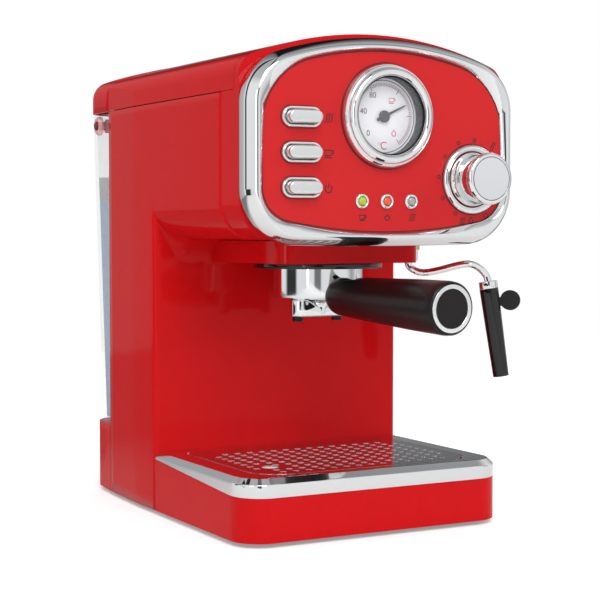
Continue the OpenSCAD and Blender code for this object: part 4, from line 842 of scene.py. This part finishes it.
# it gives off a weak light of its own, so that it shows pale through the grid's holes
INSERT_GLOW = 0.35
INSERT = surface("tray_insert", (0.80, 0.80, 0.80), 0.4, 0.05, grain=500.0)
for insert_node in INSERT.node_tree.nodes:
    if insert_node.type == "BSDF_PRINCIPLED":
        insert_node.inputs["Emission Color"].default_value = (1, 1, 1, 1)
        insert_node.inputs["Emission Strength"].default_value = INSERT_GLOW
insert_rings = []
for grow, z in ((0.0, 38.6), (0.0, 39.6), (-0.6, 39.9)):
    ring = []
    for cx, cy, start in ((64, 4, 0), (-64, 4, 90), (-64, -92, 180), (64, -92, 270)):
        ring += [(x, y, z) for x, y in arc_points(cx, cy, 10 + grow, start, start + 90, 8)]
    insert_rings.append(ring)
loft("tray_insert", insert_rings, INSERT, "drip_tray", caps=True, sharp=40.0)

# ---------------------------------------------------------------- handle bosses on the tank

BOSS = clear("handle_boss", (0.86, 0.42, 0.44), 0.08, 0.72, coat=0.4)
HUB = surface("boss_hub", (0.16, 0.01, 0.012), 0.2, 0.04, grain=900.0)
for side, hand in HANDS:
    boss_place = (Matrix.Translation((side * 87.6, HANDLE_Y, HANDLE_Z))
                  @ Matrix.Rotation(math.radians(90 * side), 4, "Y"))
    boss_line = rounded([(3.3, -0.2), (3.3, 2.6), (4.2, 3.3), (6.2, 2.6), (6.9, 1.0), (6.9, -0.2)], 0.5, 4)
    lathe("handle_boss_" + hand, boss_line, boss_place, BOSS, "water_tank", steps=64)
    hub_line = rounded([(3.0, -0.2), (3.0, 3.6), (2.2, 4.4), (0, 4.6)], 0.5, 4)
    lathe("handle_hub_" + hand, hub_line, boss_place, HUB, "tank_handle", steps=48)

# ---------------------------------------------------------------- water in the tank


def tank_ring(z, inset):
    """Outline of the tank at that height, moved in by inset."""
    low_z, low_rear = TANK_LOW
    rim_z, rim_rear = TANK_RIM
    rear = low_rear + (rim_rear - low_rear) * (z - low_z) / (rim_z - low_z)
    r = TANK_CORNER_R - inset
    half = TANK_HALF - inset
    front = TANK_FRONT + inset
    back = rear - inset
    ring = []
    for cx, cy, start in ((half - r, back - r, 0), (-half + r, back - r, 90), (-half + r, front + r, 180),
                          (half - r, front + r, 270)):
        ring += arc_points(cx, cy, r, start, start + 90, 12)
    return [(x, y, z) for x, y in ring]


WATER = clear("water", (0.36, 0.50, 0.66), 0.03, 0.72, ior=1.33)
MENISCUS = clear("water_edge", (0.36, 0.38, 0.38), 0.05, 0.6, ior=1.33)
loft("tank_water", [tank_ring(z, 2.6) for z in (54.2, 100.0, 150.0, 200.0, 211.0, 212.0)], WATER,
     "water_tank", caps=True, sharp=50.0)
loft("tank_water_edge", [tank_ring(z, 2.5) for z in (212.2, 214.0, 222.0, 229.0, 230.0)], MENISCUS,
     "water_tank", sharp=50.0)

# ---------------------------------------------------------------- softened edges on the solids

for node, radius in (("top_cover", 0.4), ("front_frame", 0.3), ("rear_base", 0.9),
                     ("tray_body", 0.7), ("tray_trim", 0.8), ("drip_grid", 0.35), ("group_block", 0.8),
                     ("group_disc", 0.5), ("group_collar", 0.5), ("portafilter_body", 0.6),
                     ("handle", 0.5), ("handle_end_ring", 0.4),
                     ("wand_collar", 0.4), ("frother_sleeve", 0.4), ("wand_socket", 0.4),
                     ("cord_gland", 0.5), ("rubber_feet", 0.4), ("basket_clip", 0.3)):
    soften(node, radius)


# ---------------------------------------------------------------- light, floor and backdrop


def area_light(name, place, target, size, power, size_y=None, in_gloss=True):
    """A soft white rectangular lamp that points at the target."""
    data = bpy.data.lights.new(name, "AREA")
    data.shape = "RECTANGLE"
    data.size = size
    data.size_y = size_y or size
    data.energy = power
    lamp = bpy.data.objects.new(name, data)
    bpy.context.scene.collection.objects.link(lamp)
    lamp.location = place
    lamp.rotation_euler = (Vector(target) - Vector(place)).to_track_quat("-Z", "Y").to_euler()
    lamp.visible_glossy = in_gloss


area_light("key_light", (-0.7, -2.0, 1.9), (0, -0.05, 0.12), 1.5, 36)
area_light("fill_light", (2.2, -1.4, 1.2), (0, -0.05, 0.15), 1.4, 14, in_gloss=False)
area_light("top_light", (0.0, 0.2, 2.3), (0, 0, 0.1), 1.6, 6, in_gloss=False)
area_light("rear_light", (-1.8, 1.9, 1.5), (0, 0, 0.15), 1.2, 10, in_gloss=False)
area_light("strip_light", (-1.75, -1.35, 0.45), (0, -0.02, 0.2), 0.16, 2.4, size_y=1.3)


def math_of(tree, operation, first, second):
    """The value of a math node on two outputs."""
    node = tree.nodes.new("ShaderNodeMath")
    node.operation = operation
    tree.links.new(first, node.inputs[0])
    tree.links.new(second, node.inputs[1])
    return node.outputs["Value"]


def share_of(tree, value, lowest, highest):
    """The value as a share from 0 to 1 of that range."""
    node = add(tree, "ShaderNodeMapRange", From_Min=lowest, From_Max=highest)
    tree.links.new(value, node.inputs["Value"])
    return node.outputs["Result"]


def mix_shaders(tree, share, first, second):
    """The first shader where the share is 0 and the second where it is 1."""
    node = tree.nodes.new("ShaderNodeMixShader")
    tree.links.new(share, node.inputs["Fac"])
    tree.links.new(first, node.inputs[1])
    tree.links.new(second, node.inputs[2])
    return node.outputs["Shader"]


world = bpy.data.worlds.new("studio")
bpy.context.scene.world = world
world.use_nodes = True
wt = world.node_tree
wt.nodes.clear()
world_out = wt.nodes.new("ShaderNodeOutputWorld")
path = wt.nodes.new("ShaderNodeLightPath")
soft = add(wt, "ShaderNodeBackground", Strength=0.55, Color=(1, 1, 1, 1))
seen = add(wt, "ShaderNodeBackground", Strength=1.0, Color=(1, 1, 1, 1))
glossy = add(wt, "ShaderNodeBackground", Strength=0.95)
direction = wt.nodes.new("ShaderNodeTexCoord")
split = wt.nodes.new("ShaderNodeSeparateXYZ")
wt.links.new(direction.outputs["Generated"], split.inputs["Vector"])
turn_angle = math_of(wt, "ARCTAN2", split.outputs["Y"], split.outputs["X"])
turn_share = share_of(wt, turn_angle, -math.pi, math.pi)
height_share = share_of(wt, split.outputs["Z"], -1.0, 1.0)

# the sockets of a Mix node when it mixes colours
MIX_A = 6
MIX_B = 7
MIX_RESULT = 2


def grey_ramp(source, stops):
    """Grey values along a 0 to 1 input."""
    node = wt.nodes.new("ShaderNodeValToRGB")
    ramp = node.color_ramp
    while len(ramp.elements) < len(stops):
        ramp.elements.new(0.5)
    for element, (at, value) in zip(ramp.elements, stops):
        element.position = at
        element.color = (value, value, value * 1.01, 1)
    wt.links.new(source, node.inputs["Fac"])
    return node.outputs["Color"]


def turn_ramp(stops):
    """Grey values by direction, in degrees from +X towards +Y."""
    return grey_ramp(turn_share, [((degrees + 180) / 360, value) for degrees, value in stops])


def color_mix(first):
    """A Mix node for colours with its first one linked."""
    node = wt.nodes.new("ShaderNodeMix")
    node.data_type = "RGBA"
    wt.links.new(first, node.inputs[MIX_A])
    return node


# the studio that gloss and chrome show: one ring of greys below the horizon and one above it
FRONT_AND_RIGHT = [(-40, 0.97), (-22, 0.40), (-2, 0.93), (22, 0.75), (48, 0.02), (74, 0.02), (86, 0.34),
                   (98, 0.42), (112, 0.50)]
around_low = turn_ramp(
    [(-180, 0.04), (-177, 0.04), (-171, 0.97), (-129, 0.97), (-125, 0.22), (-112, 0.22), (-108, 0.97)]
    + FRONT_AND_RIGHT + [(122, 0.60), (136, 0.97), (151, 0.97), (159, 0.04), (180, 0.04)])
around_high = turn_ramp(
    [(-180, 0.97), (-130, 0.97), (-125, 0.04), (-111, 0.04), (-106, 0.97)]
    + FRONT_AND_RIGHT + [(122, 0.62), (136, 0.97), (142, 0.97), (147, 0.04), (162, 0.04), (167, 0.97)])
height = grey_ramp(height_share, [(0.0, 0.80), (0.46, 0.92), (0.60, 1.0), (0.78, 1.0), (0.86, 0.62),
                                  (1.0, 0.50)])
upward = grey_ramp(height_share, [(0.487, 0.0), (0.492, 1.0)])
around = color_mix(around_low)
wt.links.new(around_high, around.inputs[MIX_B])
wt.links.new(upward, around.inputs["Factor"])

# a plain grey wall behind, for rays that are nearly level
near_level = grey_ramp(height_share, [(0.50, 1.0), (0.55, 1.0), (0.59, 0.0), (1.0, 0.0)])
toward_back = turn_ramp([(-180, 0.0), (28, 0.0), (40, 1.0), (88, 1.0), (100, 0.0)])
back_wall = color_mix(around.outputs[MIX_RESULT])
back_wall.inputs[MIX_B].default_value = (0.46, 0.46, 0.47, 1)
wt.links.new(math_of(wt, "MULTIPLY", near_level, toward_back), back_wall.inputs["Factor"])

shaded = color_mix(back_wall.outputs[MIX_RESULT])
shaded.blend_type = "MULTIPLY"
shaded.inputs["Factor"].default_value = 1.0
wt.links.new(height, shaded.inputs[MIX_B])
wt.links.new(shaded.outputs[MIX_RESULT], glossy.inputs["Color"])

# gloss sees that studio, the camera and clear pieces see white, and all else gets soft light
through = math_of(wt, "MAXIMUM", path.outputs["Is Camera Ray"], path.outputs["Is Transmission Ray"])
lit = mix_shaders(wt, path.outputs["Is Glossy Ray"], soft.outputs["Background"],
                  glossy.outputs["Background"])
wt.links.new(mix_shaders(wt, through, lit, seen.outputs["Background"]), world_out.inputs["Surface"])

FLOOR = 1.3
floor_mesh = bpy.data.meshes.new("floor")
floor_mesh.from_pydata([(-FLOOR, -FLOOR, 0), (FLOOR, -FLOOR, 0), (FLOOR, FLOOR, 0), (-FLOOR, FLOOR, 0)],
                       [], [(0, 1, 2, 3)])
floor = bpy.data.objects.new("floor", floor_mesh)
bpy.context.scene.collection.objects.link(floor)
floor_mat, ft, floor_out = nodes_of("pale_floor")
floor_base = add(ft, "ShaderNodeBsdfDiffuse", Color=(0.86, 0.86, 0.87, 1))
floor_seen = add(ft, "ShaderNodeBsdfDiffuse", Color=(0.97, 0.97, 0.97, 1))
glow = add(ft, "ShaderNodeEmission", Strength=0.28)
floor_path = ft.nodes.new("ShaderNodeLightPath")
floor_place = ft.nodes.new("ShaderNodeTexCoord")
floor_split = ft.nodes.new("ShaderNodeSeparateXYZ")
ft.links.new(floor_place.outputs["Object"], floor_split.inputs["Vector"])

# in reflections the floor gets darker behind the machine
fade = add(ft, "ShaderNodeMapRange", From_Min=0.0, From_Max=0.4, To_Min=0.86, To_Max=0.24)
ft.links.new(floor_split.outputs["Y"], fade.inputs["Value"])
floor_rear = ft.nodes.new("ShaderNodeBsdfDiffuse")
ft.links.new(fade.outputs["Result"], floor_rear.inputs["Color"])
floor_lit = mix_shaders(ft, floor_path.outputs["Is Glossy Ray"], floor_base.outputs["BSDF"],
                        floor_rear.outputs["BSDF"])

# only the camera sees the glow, so it adds no light to the machine
floor_both = ft.nodes.new("ShaderNodeAddShader")
ft.links.new(floor_seen.outputs["BSDF"], floor_both.inputs[0])
ft.links.new(glow.outputs["Emission"], floor_both.inputs[1])
floor_mix = mix_shaders(ft, floor_path.outputs["Is Camera Ray"], floor_lit, floor_both.outputs["Shader"])
ft.links.new(floor_mix, floor_out.inputs["Surface"])
floor_mesh.materials.append(floor_mat)

bpy.context.scene.view_settings.view_transform = "Standard"
